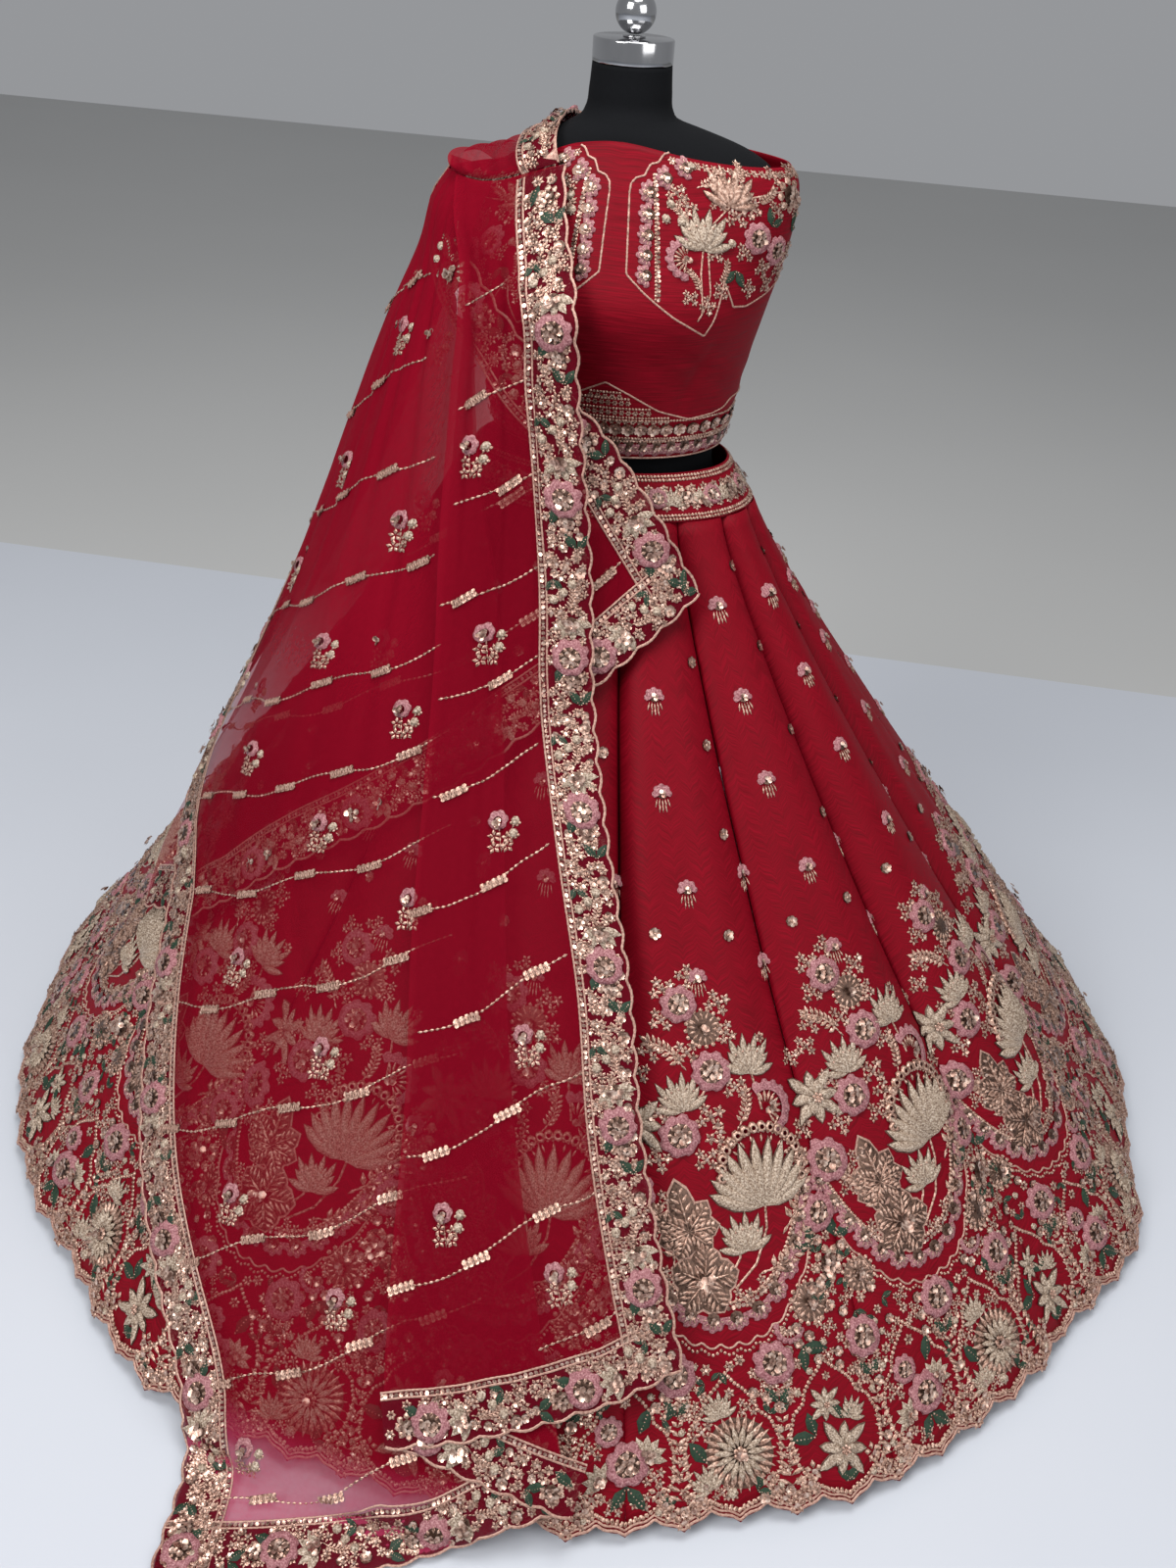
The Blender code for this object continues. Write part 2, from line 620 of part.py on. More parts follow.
def build_kalis(collection, material):
    """The sixteen flared panels of the skirt, a fold at each seam and points along the hem."""
    for number in range(KALIS):
        first = FIRST_SEAM_TURN + KALI_TURN * number

        def surface(across, up, first=first):
            turn = first + KALI_TURN * across
            drop = hem_drop(turn) * (1.0 - up)
            _, _, half_width, _ = skirt_section(drop)
            inset = math.degrees(0.5 * SEAM_GAP / half_width)
            turn = first + inset + (KALI_TURN - 2.0 * inset) * across
            return skirt_point(turn, drop)

        mesh = grid_mesh(surface, KALI_COLUMNS, KALI_ROWS)
        name = f"lehenga_kali_{number + 1:02d}"
        smooth(add_wall(add_object(collection, name, mesh, material), SKIRT_WALL))


def build_dupatta(collection, material):
    """The net dupatta: its four hanging stretches and the pleats over the shoulder."""
    for name, stretch in STRETCHES.items():

        def surface(across, up, stretch=stretch):
            return stretch_point(stretch, 1.0 - across, up)

        mesh = grid_mesh(surface, stretch["columns"], stretch["rows"])
        smooth(add_wall(add_object(collection, name, mesh, material), NET_WALL))

    def pleats(across, up):
        return shoulder_point(1.0 - across, up)

    mesh = grid_mesh(pleats, PLEAT_COLUMNS, PLEAT_ROWS)
    item = add_object(collection, "dupatta_shoulder_pleats", mesh, material)
    smooth(add_wall(item, PLEAT_WALL))


def main():
    """Builds the garment and the form that it hangs on."""
    clear_scene()
    collection = new_collection("lehenga_choli")
    finishes = {name: new_material(name, *look) for name, look in FINISHES.items()}
    build_torso(collection, finishes["black_form"])
    build_stand(collection, finishes["chrome"], finishes["black_stand"])
    build_choli(collection, finishes["red_silk"])
    build_waistband(collection, finishes["red_silk"])
    build_kalis(collection, finishes["red_silk"])
    build_dupatta(collection, finishes["red_net"])


main()
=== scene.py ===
"""Lehenga choli on a dress form: silk, net and raised embroidery laid on the solids' forms.

Metres, +Z up, the front faces -Y. A turn is an angle about +Z in degrees, 0 at the front and
growing towards +X.
"""

import logging
import math
from dataclasses import dataclass
from enum import Enum
from typing import Iterable, Optional, Protocol, Sequence

import bpy
import numpy as np
from mathutils import Matrix, Vector


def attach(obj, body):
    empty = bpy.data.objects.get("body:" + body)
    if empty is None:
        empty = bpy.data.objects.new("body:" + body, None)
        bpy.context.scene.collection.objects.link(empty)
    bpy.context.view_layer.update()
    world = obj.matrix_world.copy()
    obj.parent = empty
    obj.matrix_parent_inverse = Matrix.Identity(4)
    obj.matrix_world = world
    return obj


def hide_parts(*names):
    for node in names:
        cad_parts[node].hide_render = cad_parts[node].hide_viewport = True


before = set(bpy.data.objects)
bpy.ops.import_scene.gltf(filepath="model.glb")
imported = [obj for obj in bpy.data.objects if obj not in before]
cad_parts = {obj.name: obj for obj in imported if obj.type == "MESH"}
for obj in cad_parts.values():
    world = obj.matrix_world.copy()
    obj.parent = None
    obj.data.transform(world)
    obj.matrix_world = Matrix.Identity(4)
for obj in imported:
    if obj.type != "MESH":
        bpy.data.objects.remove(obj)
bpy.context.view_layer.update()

Array = np.ndarray
Row = tuple[float, ...]
Triple = tuple[float, float, float]
Piece = bpy.types.Object
Tree = bpy.types.NodeTree
Socket = bpy.types.NodeSocket
# The form's right shoulder drops, from none to all of it outwards and upwards
SHOULDER_DROP = 0.0300
SHOULDER_DROP_X = (-0.035, -0.150)
SHOULDER_DROP_Z = (1.040, 1.200)
# Steps of a form's two coordinates to measure it by, and how a net edge is measured and evened
MEASURE_SPAN = (0.05, 0.002)
WALK_STOPS = 24
EDGE_STOPS = 400
EDGE_SMOOTHING = 9
BAND_SMOOTHING = 25
BAND_REACH = 0.05
log = logging.getLogger("lehenga_choli")


# Curves and tables


def read_curve(keys: Sequence[float], values: Sequence[float], at: Array) -> Array:
    """Reads a smooth curve through a table's rows without overshooting them.

    Args:
        keys: Rising places of the rows.
        values: Value of each row.
        at: Places to read.

    Returns:
        The curve's values.
    """
    keys = np.asarray(keys, float)
    values = np.asarray(values, float)
    at = np.clip(np.asarray(at, float), keys[0], keys[-1])
    slopes = np.gradient(values, keys)
    row = np.clip(np.searchsorted(keys, at) - 1, 0, len(keys) - 2)
    span = keys[row + 1] - keys[row]
    rise = values[row + 1] - values[row]
    secant = rise / span
    share = (at - keys[row]) / span

    def eased(slope: Array) -> Array:
        """Slope at a row, limited by the rise beside it."""
        steep = np.copysign(np.minimum(np.abs(slope), 3.0 * np.abs(secant)), secant)
        return np.where(slope * secant <= 0.0, 0.0, steep) * span

    bend = share * share * (3.0 - 2.0 * share)
    start = share * (1.0 - share) ** 2 * eased(slopes[row])
    end = share * share * (share - 1.0) * eased(slopes[row + 1])
    return values[row] + rise * bend + start + end


def eased(value: Array, start: float, end: float) -> Array:
    """Share of the way from start to end, with soft ends."""
    share = np.clip((value - start) / (end - start), 0.0, 1.0)
    return share * share * (3.0 - 2.0 * share)


def dropped(points: Array) -> Array:
    """Points above the waist, lowered where the form's right shoulder drops."""
    x, y, z = np.moveaxis(points, -1, 0)
    drop = SHOULDER_DROP * eased(x, *SHOULDER_DROP_X) * eased(z, *SHOULDER_DROP_Z)
    return np.stack((x, y, z - drop), axis=-1)


def placed(turn: Array, radius: Array, height: Array) -> Array:
    """Points at turns, distances from the axis and heights."""
    angle = np.radians(turn)
    turn, radius, height = np.broadcast_arrays(angle, radius, height)
    return dropped(np.stack((radius * np.sin(turn), -radius * np.cos(turn), height), axis=-1))


def bell(values: Array, width: float) -> Array:
    """A soft bump of height 1 round zero."""
    return np.exp(-((values / width) ** 2))


# Forms that the cloth lies on


class Form(Protocol):
    """A face of cloth that takes two coordinates and a distance off the face."""

    def points(self, first: Array, second: Array, lift: Array) -> Array:
        """Points of the face."""


@dataclass(frozen=True)
class Ovals:
    """Oval sections up the body: each with its half width and its front and back depths."""

    height: Row
    half_width: Row
    front: Row
    back: Row

    def radius(self, turn: Array, height: Array) -> Array:
        """Distance from the axis to the outline at a turn and a height."""
        across = read_curve(self.height, self.half_width, height)
        front = read_curve(self.height, self.front, height)
        back = read_curve(self.height, self.back, height)
        cosine = np.cos(np.radians(turn))
        deep = np.where(cosine >= 0.0, front, back)
        return 1.0 / np.hypot(np.sin(np.radians(turn)) / across, cosine / deep)


CHOLI_OVALS = Ovals(
    height=(0.940, 0.965, 1.000, 1.050, 1.105, 1.150, 1.190, 1.215, 1.236, 1.250, 1.264),
    half_width=(0.132, 0.138, 0.145, 0.155, 0.168, 0.179, 0.185, 0.186, 0.180, 0.166, 0.150),
    front=(0.100, 0.102, 0.108, 0.120, 0.135, 0.122, 0.106, 0.094, 0.084, 0.077, 0.071),
    back=(0.088, 0.087, 0.090, 0.094, 0.0965, 0.0942, 0.0880, 0.0815, 0.0755, 0.0705, 0.0655),
)
NET_OVALS = Ovals(
    height=(0.882, 0.930, 0.965, 1.000, 1.050, 1.105, 1.150, 1.190, 1.215, 1.240),
    half_width=(0.196, 0.176, 0.158, 0.156, 0.164, 0.177, 0.187, 0.192, 0.189, 0.176),
    front=(0.152, 0.136, 0.118, 0.120, 0.131, 0.150, 0.132, 0.113, 0.098, 0.083),
    back=(0.130, 0.112, 0.104, 0.106, 0.110, 0.112, 0.109, 0.099, 0.088, 0.075),
)


@dataclass(frozen=True)
class CholiForm:
    """The choli's outer face, by turn and height."""

    ovals: Ovals = CHOLI_OVALS
    bottom_z: float = 0.942
    top_z: float = 1.262
    top_drop: float = 0.018
    bust_turn: float = 37.0
    bust_z: float = 1.105
    fullness: float = 0.009
    front_turn: float = 5.2
    wrinkle: float = 0.0014

    def top(self, turn: Array) -> Array:
        """Height of the top edge."""
        return self.top_z - self.top_drop * np.sin(np.radians(turn)) ** 2

    def creases(self, turn: Array, height: Array) -> Array:
        """Soft wrinkles between the busts and the pulls from each bust to the side."""
        middle = bell(turn - self.front_turn, 11.0) * bell(height - 1.205, 0.035)
        rows = self.wrinkle * middle * np.sin(height * 520.0 + 0.05 * turn)
        pulls = np.zeros_like(rows)
        for side in (-1.0, 1.0):
            slant = height - 1.04 + 0.0016 * (side * turn - 60.0)
            pulls += 0.0016 * bell(side * turn - 68.0, 26.0) * np.sin(slant * 170.0) * bell(slant, 0.05)
            line = bell(side * turn - 50.0 - 90.0 * (height - 1.04), 3.2)
            pulls -= 0.0022 * line * bell(height - 1.03, 0.05)
        back = 0.0012 * bell(np.abs(turn) - 180.0, 40.0) * np.sin(height * 150.0 + 0.03 * turn)
        return rows + pulls - back * bell(height - 1.0, 0.06)

    def points(self, turn: Array, height: Array, lift: Array) -> Array:
        """Points of the face: turn, height and distance off it."""
        radius = self.ovals.radius(turn, height) + lift + self.creases(turn, height)
        for side in (-self.bust_turn, self.bust_turn):
            radius = radius + self.fullness * bell(turn - side, 24.0) * bell(height - self.bust_z, 0.050)
        return placed(turn, radius, height)


@dataclass(frozen=True)
class WaistForm:
    """The waistband's outer face, by turn and height."""

    top_z: float = 0.930
    foot_z: float = 0.8823
    half_width: float = 0.178
    depth: float = 0.116
    shift: float = -0.020
    flare: float = 0.016
    front_flare: float = 0.008
    side_flare: float = 0.018

    def points(self, turn: Array, height: Array, lift: Array) -> Array:
        """Points of the band: turn, height and distance off it."""
        angle = np.radians(turn)
        flare = self.flare + self.side_flare * np.sin(angle) ** 2
        flare = flare + self.front_flare * np.maximum(np.cos(angle), 0.0) ** 2
        inset = flare * (height - 0.882) / 0.048 - lift
        turn, inset, height = np.broadcast_arrays(angle, inset, height)
        across = (self.half_width - inset) * np.sin(turn)
        return np.stack((across, self.shift - (self.depth - inset) * np.cos(turn), height), axis=-1)


@dataclass(frozen=True)
class SkirtForm:
    """The skirt's outer face, by turn and by metres up from the hem along the cloth."""

    top_z: float = 0.882
    hem_z: float = 0.014
    top_radius: float = 0.178
    waist_depth: float = 0.116
    waist_shift: float = -0.020
    hem_radius: float = 0.806
    hem_depth: float = 0.790
    hem_shift: float = 0.025
    flare_power: float = 1.12
    kalis: int = 16
    first_seam: float = 13.0
    hem_points: int = 5
    point_depth: float = 0.014
    length: float = 1.0713
    fold_drop: Row = (0.00, 0.08, 0.30, 0.50, 0.70, 0.85, 1.00)
    fold_trough: Row = (0.006, 0.012, 0.022, 0.024, 0.016, 0.010, 0.010)
    fold_wave: Row = (0.000, 0.000, 0.001, 0.003, 0.006, 0.010, 0.014)
    fullness: Row = (1.10, 0.95, 1.20, 0.80, 1.00, 1.25, 0.85, 1.05,
                                   0.90, 1.15, 1.00, 0.80, 1.20, 0.95, 1.05, 0.85)
    lean: Row = (0.10, -0.06, 0.08, 0.12, -0.10, 0.05, 0.09, -0.08,
                               0.06, 0.11, -0.05, 0.08, -0.09, 0.07, 0.10, -0.07)
    wave_count: tuple[int, ...] = (7, 11, 17)
    wave_crest: Row = (24.0, 6.0, 11.0)
    wave_share: Row = (0.50, 0.60, 0.45)

    @property
    def kali_turn(self) -> float:
        """Turn of one kali."""
        return 360.0 / self.kalis

    def section(self, drop: Array) -> tuple[Array, Array, Array, Array]:
        """Centre, half width and half depth of the plain oval at a share of the drop."""
        flare = np.maximum(drop, 0.0) ** self.flare_power
        half_width = self.top_radius + (self.hem_radius - self.top_radius) * flare
        half_depth = self.waist_depth + (self.hem_depth - self.waist_depth) * flare
        return self.hem_shift * flare, self.waist_shift * (1.0 - flare), half_width, half_depth

    def slope(self, drop: Array) -> tuple[Array, Array]:
        """Outward and upward parts of the direction that stands off the face."""
        rise = self.top_z - self.hem_z
        spread = (self.hem_radius - self.top_radius) * self.flare_power
        spread = spread * np.maximum(drop, 0.01) ** (self.flare_power - 1.0)
        long = np.hypot(rise, spread)
        return rise / long, spread / long

    def swell(self, turn: Array, drop: Array) -> Array:
        """Main folds at the kali seams and the waves of the hem."""
        across = (turn - self.first_seam) / self.kali_turn
        kali = np.floor(across).astype(int) % self.kalis
        share = across - np.floor(across)
        share = share + np.asarray(self.lean)[kali] * np.sin(np.pi * share) - 0.5
        plain = np.interp(drop, self.fold_drop, self.fold_trough)
        trough = np.minimum(plain * np.asarray(self.fullness)[kali], plain * 1.25)
        fold = trough * (0.5 - np.minimum(np.abs(2.0 * share), 1.0) ** 2.6)
        wave = sum(part * np.cos(np.radians((turn - crest) * count)) for count, crest, part
                   in zip(self.wave_count, self.wave_crest, self.wave_share))
        return fold + np.interp(drop, self.fold_drop, self.fold_wave) * wave

    def creases(self, turn: Array, drop: Array) -> Array:
        """Pressed seam lines, crisp from the waist, and the soft dents between them."""
        across = (turn - self.first_seam) / self.kali_turn
        kali = np.floor(across)
        share = across - kali
        radius = self.section(drop)[2]
        arc = np.minimum(share, 1.0 - share) * np.radians(self.kali_turn) * radius
        fade = np.interp(drop, (0.0, 0.05, 0.50, 0.78), (0.2, 1.0, 0.9, 0.0))
        seam = -0.0062 * np.exp(-arc / 0.0065) * fade
        phase = 2.1 * kali
        slant = share + 0.10 * np.sin(5.0 * drop + phase)
        dents = 0.0020 * np.sin(2.0 * np.pi * 1.6 * slant + phase) * np.sin(np.pi * drop) ** 2
        low = bell(drop - 0.12 - 0.03 * np.sin(phase), 0.05)
        dents = dents + 0.0012 * low * np.sin(9.0 * (drop * 14.0 + share) + phase)
        return seam + dents * np.sin(np.pi * share)

    def points(self, turn: Array, up: Array, lift: Array) -> Array:
        """Points of the face: turn, metres up from the hem and distance off it."""
        drop = 1.0 - np.asarray(up) / self.length
        centre_x, centre_y, half_width, half_depth = self.section(drop)
        out, rise = self.slope(drop)
        swell = self.swell(turn, drop) + self.creases(turn, drop)
        off = lift + swell
        sine = np.sin(np.radians(turn))
        cosine = np.cos(np.radians(turn))
        height = self.top_z + (self.hem_z - self.top_z) * drop
        level = lift + swell * np.clip(1.0 - drop, 0.0, 1.0)
        parts = (centre_x + (half_width + out * off) * sine,
                 centre_y - (half_depth + out * off) * cosine, height + rise * level)
        return np.stack(np.broadcast_arrays(*parts), axis=-1)

    def hem_up(self, turn: Array) -> Array:
        """Metres from the hem line up to the pointed edge, an ogee between each two points."""
        points = (turn - self.first_seam) / (self.kali_turn / self.hem_points)
        side = 4.0 * np.abs(points - np.round(points)) - 1.0
        rise = 0.5 + 0.5 * np.copysign(np.abs(side) ** 1.8, side)
        return self.length * self.point_depth * rise

    def support(self, turn: Array, height: Array) -> Array:
        """Distance from the axis to the tops of the folds at a turn and a height."""
        drop = np.clip((self.top_z - height) / (self.top_z - self.hem_z), 0.0, 1.0)
        centre_x, centre_y, half_width, half_depth = self.section(drop)
        trough = np.interp(drop, self.fold_drop, self.fold_trough)
        wave = np.interp(drop, self.fold_drop, self.fold_wave)
        clear = (0.65 * trough + 1.2 * wave) / self.slope(drop)[0] + 0.003
        across = half_width + clear
        deep = half_depth + clear
        sine = np.sin(np.radians(turn)) / across
        cosine = -np.cos(np.radians(turn)) / deep
        shift_x = centre_x / across
        shift_y = centre_y / deep
        square = sine * sine + cosine * cosine
        half = sine * shift_x + cosine * shift_y
        rest = shift_x * shift_x + shift_y * shift_y - 1.0
        return (half + np.sqrt(half * half - square * rest)) / square


@dataclass(frozen=True)
class Edge:
    """An edge of a net stretch: its turn at each height."""

    height: Row
    turn: Row

    def at(self, height: Array) -> Array:
        """Turn of the edge at a height."""
        return read_curve(self.height, self.turn, height)


@dataclass(frozen=True)
class NetForm:
    """One stretch of the dupatta's outer face, by turn and height; below the hem it lies out."""

    name: str
    lift: float
    shoulder_lift: float
    right: Edge
    left: Edge
    across: Row
    lower: Row
    skirt: SkirtForm = SkirtForm()
    folds: float = 0.0
    fold_count: float = 7.0
    tent_turn: Row = (-135, -112, -92, -75, -58, -40, -22, 0, 20, 45)
    tent_from: Row = (1.215, 1.215, 1.215, 1.210, 1.200, 1.170, 1.130, 1.105, 1.105, 1.105)
    tent_meet: Row = (0.600, 0.490, 0.430, 0.430, 0.470, 0.540, 0.640, 0.740, 0.790, 0.830)
    sag: float = 0.016
    blend: float = 0.030
    top_z: float = 1.240
    hem_z: float = 0.034
    floor_z: float = 0.0040
    floor_curve: float = 0.020
    ripple_turn: float = 30.0
    ripple: float = 0.005

    def body(self, turn: Array, height: Array) -> Array:
        """Distance from the axis to what the net would lie on if it were pressed flat."""
        above = NET_OVALS.radius(turn, np.maximum(height, self.skirt.top_z))
        below = np.maximum(self.skirt.support(turn, height), above)
        return np.where(height >= self.skirt.top_z, above, below)

    def radius(self, turn: Array, height: Array) -> Array:
        """Distance from the axis to the hanging net, bridging from the shoulder to the skirt."""
        flat = self.body(turn, height)
        top = np.interp(turn, self.tent_turn, self.tent_from)
        foot = np.interp(turn, self.tent_turn, self.tent_meet)
        share = (top - height) / (top - foot)
        outside = np.minimum(np.abs(share), np.abs(share - 1.0))
        rest = flat + 0.5 * self.blend * np.exp(-12.0 * outside)
        inner = np.clip(share, 0.0, 1.0)
        start = self.body(turn, top)
        end = self.body(turn, foot)
        swing = np.sin(np.pi * inner)
        line = start + (end - start) * inner - self.sag * swing
        line = line + self.ripple * swing * np.cos(np.radians(turn * 360.0 / self.ripple_turn))
        bridge = 0.5 * (flat + line + np.hypot(flat - line, self.blend))
        return np.where((share > 0.0) & (share < 1.0), bridge, rest)

    def spread(self, height: Array) -> Array:
        """Share of the stretch's own lift: none at the shoulder, all a hand's width below."""
        share = np.clip((self.top_z - height) / 0.300, 0.0, 1.0)
        return share * share * (3.0 - 2.0 * share)

    def creases(self, turn: Array, height: Array) -> Array:
        """Folds that run down from the shoulder and open out towards the floor."""
        right = self.right.at(height)
        share = (turn - right) / np.where(np.abs(self.left.at(height) - right) < 1.0, -1.0,
                                          self.left.at(height) - right)
        bent = self.fold_count * share + 0.25 * np.sin(6.0 * height + 2.0 * share)
        fine = np.sin(2.0 * np.pi * bent) + 0.6 * np.sin(2.0 * np.pi * (1.7 * bent + 0.2))
        low = np.interp(height, (0.03, 0.25, 0.60, 1.00, 1.20), (0.15, 0.45, 0.8, 1.0, 0.35))
        return self.folds * fine * low

    def points(self, turn: Array, height: Array, lift: Array) -> Array:
        """Points of the net: turn, height (or reach out past the hem) and distance off it."""
        turn, height, lift = np.broadcast_arrays(turn, height, lift)
        spread = self.spread(height)
        own = self.shoulder_lift + (self.lift - self.shoulder_lift) * spread
        hung = placed(turn, self.radius(turn, height) + own + lift + self.creases(turn, height), height)
        reach = self.hem_z - height
        fade = np.exp(-np.maximum(reach, 0.0) / self.floor_curve)
        out = self.radius(turn, np.full_like(height, self.hem_z)) + self.lift + lift * fade + reach
        out = out + self.creases(turn, np.full_like(height, self.hem_z)) * fade
        level = self.floor_z + (self.hem_z - self.floor_z) * fade + lift * (1.0 - fade)
        laid = placed(turn, out - self.floor_curve * (1.0 - fade), level)
        return np.where((height >= self.hem_z)[..., None], hung, laid)

    def low(self, across: Array) -> Array:
        """Height of the lower edge at a share from right to left."""
        return np.interp(across, self.across, self.lower)

    def between(self, across: Array, height: Array) -> Array:
        """Turn at a share from the right edge to the left edge."""
        right = self.right.at(height)
        return right + (self.left.at(height) - right) * across


@dataclass(frozen=True)
class PleatForm:
    """The pleats over the form's right shoulder: share across them and from front to back."""

    net: NetForm
    across: Row = (0.00, 0.25, 0.50, 0.75, 1.00)
    front_turn: Row = (-32.0, -45.0, -57.0, -68.0, -78.0)
    back_turn: Row = (-150.0, -138.0, -127.0, -117.0, -108.0)
    crest_x: Row = (-0.066, -0.096, -0.126, -0.155, -0.184)
    crest_z: Row = (1.2762, 1.2731, 1.2676, 1.2630, 1.2560)
    pleats: int = 6
    depth: float = 0.0025
    foot_z: float = 1.2418
    foot_lift: float = 0.0070

    def points(self, across: Array, along: Array, lift: Array) -> Array:
        """Points of the pleats: share across, share from front to back and distance off."""
        across, along, lift = np.broadcast_arrays(across, along, lift)
        foot = np.full_like(across, self.foot_z)
        ends = []
        for turns in (self.front_turn, self.back_turn):
            turn = np.interp(across, self.across, turns)
            ends.append(placed(turn, self.net.radius(turn, foot) + self.foot_lift, foot))
        front, back = ends
        crest = dropped(np.stack((np.interp(across, self.across, self.crest_x), np.zeros_like(across),
                                  np.interp(across, self.across, self.crest_z)), axis=-1))
        swing = np.sin(np.pi * along)
        share = (0.5 - 0.5 * np.cos(np.pi * along))[..., None]
        point = front + (back - front) * share
        point = point + (crest - 0.5 * (front + back)) * swing[..., None]
        pleat = self.depth * swing * np.cos(2.0 * np.pi * self.pleats * across)
        outward = np.stack((np.zeros_like(swing), -np.cos(np.pi * along), 0.6 + swing), axis=-1)
        outward /= np.linalg.norm(outward, axis=-1, keepdims=True)
        point[..., 2] += pleat
        return point + outward * lift[..., None]


# Finishes


def wired(tree: Tree, kind: str, inputs: dict, **settings: object) -> bpy.types.Node:
    """Adds a shader node.

    Args:
        tree: Material's nodes.
        kind: Kind of node.
        inputs: Value of each input, or the output that it is joined to.
        settings: The node's own settings.

    Returns:
        The node.
    """
    made = tree.nodes.new("ShaderNode" + kind)
    for name, value in settings.items():
        setattr(made, name, value)
    for name, value in inputs.items():
        if isinstance(value, Socket):
            tree.links.new(value, made.inputs[name])
        else:
            made.inputs[name].default_value = value
    return made


def noise(tree: Tree, vector: Socket, scale: Triple, detail: float = 2.0) -> Socket:
    """Noise pattern, 0 to 1, at its repeats per metre along each coordinate."""
    mapping = wired(tree, "Mapping", {"Scale": scale, "Vector": vector})
    return wired(tree, "TexNoise", {"Scale": 1.0, "Detail": detail,
                                   "Vector": mapping.outputs["Vector"]}).outputs["Fac"]


def graded(tree: Tree, value: Socket, low: float, high: float, start: float = 0.35,
           end: float = 0.65) -> Socket:
    """Maps a pattern to a range of plain values."""
    return wired(tree, "MapRange", {"From Min": start, "From Max": end, "To Min": low, "To Max": high,
                                   "Value": value}).outputs["Result"]


def tinted(tree: Tree, value: Socket, colours: Sequence[Triple]) -> Socket:
    """Maps a pattern to a row of colours."""
    ramp = wired(tree, "ValToRGB", {"Fac": value})
    stops = ramp.color_ramp.elements
    while len(stops) < len(colours):
        stops.new(0.5)
    for place, (stop, colour) in enumerate(zip(stops, colours)):
        stop.position = 0.32 + 0.36 * place / max(len(colours) - 1, 1)
        stop.color = (*colour, 1.0)
    return ramp.outputs["Color"]


def place_of(tree: Tree, axis: str) -> Socket:
    """One coordinate of a point on the piece."""
    return wired(tree, "SeparateXYZ", {0: wired(tree, "TexCoord", {}).outputs["Object"]}).outputs[axis]


def joined(tree: Tree, first: Socket, second: Socket, how: str) -> Socket:
    """Adds or multiplies two values, held to 0 to 1."""
    return wired(tree, "Math", {0: first, 1: second}, operation=how, use_clamp=True).outputs[0]


def bumped(tree: Tree, shader: bpy.types.Node, value: Socket, strength: float, distance: float) -> None:
    """Raises a pattern on the surface."""
    bump = wired(tree, "Bump", {"Strength": strength, "Distance": distance, "Height": value})
    tree.links.new(bump.outputs["Normal"], shader.inputs["Normal"])


@dataclass(frozen=True)
class Finish:
    """A finish with a row of colours that vary over it."""

    name: str
    colours: tuple[Triple, ...]
    roughness: tuple[float, float]
    grain: Triple
    metallic: float = 0.0
    sheen: float = 0.0
    alpha: Optional[tuple[float, float]] = None
    bump: tuple[float, float] = (0.0, 0.0)
    on_cloth: bool = False
    specular: float = 0.5
    gathered: float = 0.0
    lit_from_floor: Optional[Triple] = None

    def material(self) -> bpy.types.Material:
        """Builds the finish's nodes, once."""
        made = bpy.data.materials.get(self.name)
        if made is not None:
            return made
        made = bpy.data.materials.new(self.name)
        made.use_nodes = True
        tree = made.node_tree
        shader = tree.nodes["Principled BSDF"]
        if self.on_cloth:
            vector = wired(tree, "UVMap", {}, uv_map="cloth").outputs["UV"]
        else:
            vector = wired(tree, "TexCoord", {}).outputs["Object"]
        fine = noise(tree, vector, self.grain, 3.0)
        colour = tinted(tree, fine, self.colours)
        if self.lit_from_floor:
            colour = self.floor_glow(tree, colour)
        tree.links.new(colour, shader.inputs["Base Color"])
        tree.links.new(graded(tree, fine, *self.roughness), shader.inputs["Roughness"])
        shader.inputs["Metallic"].default_value = self.metallic
        shader.inputs["Specular IOR Level"].default_value = self.specular
        if self.sheen:
            shader.inputs["Sheen Weight"].default_value = self.sheen
            shader.inputs["Sheen Roughness"].default_value = 0.45
            shader.inputs["Sheen Tint"].default_value = (*self.colours[-1], 1.0)
        if self.alpha:
            broad = noise(tree, vector, tuple(part * 0.11 for part in self.grain), 2.0)
            cover = graded(tree, broad, *self.alpha)
            if self.gathered:
                cover = self.gathers(tree, cover)
            tree.links.new(cover, shader.inputs["Alpha"])
        if self.bump[0]:
            bumped(tree, shader, fine, *self.bump)
        return made

    def floor_glow(self, tree: Tree, colour: Socket) -> Socket:
        """Brighter where the net lies on the pale floor, which lights it from below."""
        low = graded(tree, place_of(tree, "Z"), 1.0, 0.0, 0.035, 0.075)
        return wired(tree, "Mix", {0: low, 6: colour, 7: (*self.lit_from_floor, 1.0)},
                    data_type="RGBA").outputs[2]

    def gathers(self, tree: Tree, cover: Socket) -> Socket:
        """Denser where the net is gathered in many layers below the shoulder."""
        high = graded(tree, place_of(tree, "Z"), 0.0, self.gathered, 0.50, 0.78)
        aside = graded(tree, place_of(tree, "X"), 1.0, 0.0, -0.20, -0.08)
        return joined(tree, joined(tree, high, aside, "MULTIPLY"), cover, "ADD")

    def on(self, piece: Piece) -> Piece:
        """Gives a piece this finish alone."""
        piece.data.materials.clear()
        piece.data.materials.append(self.material())
        return piece


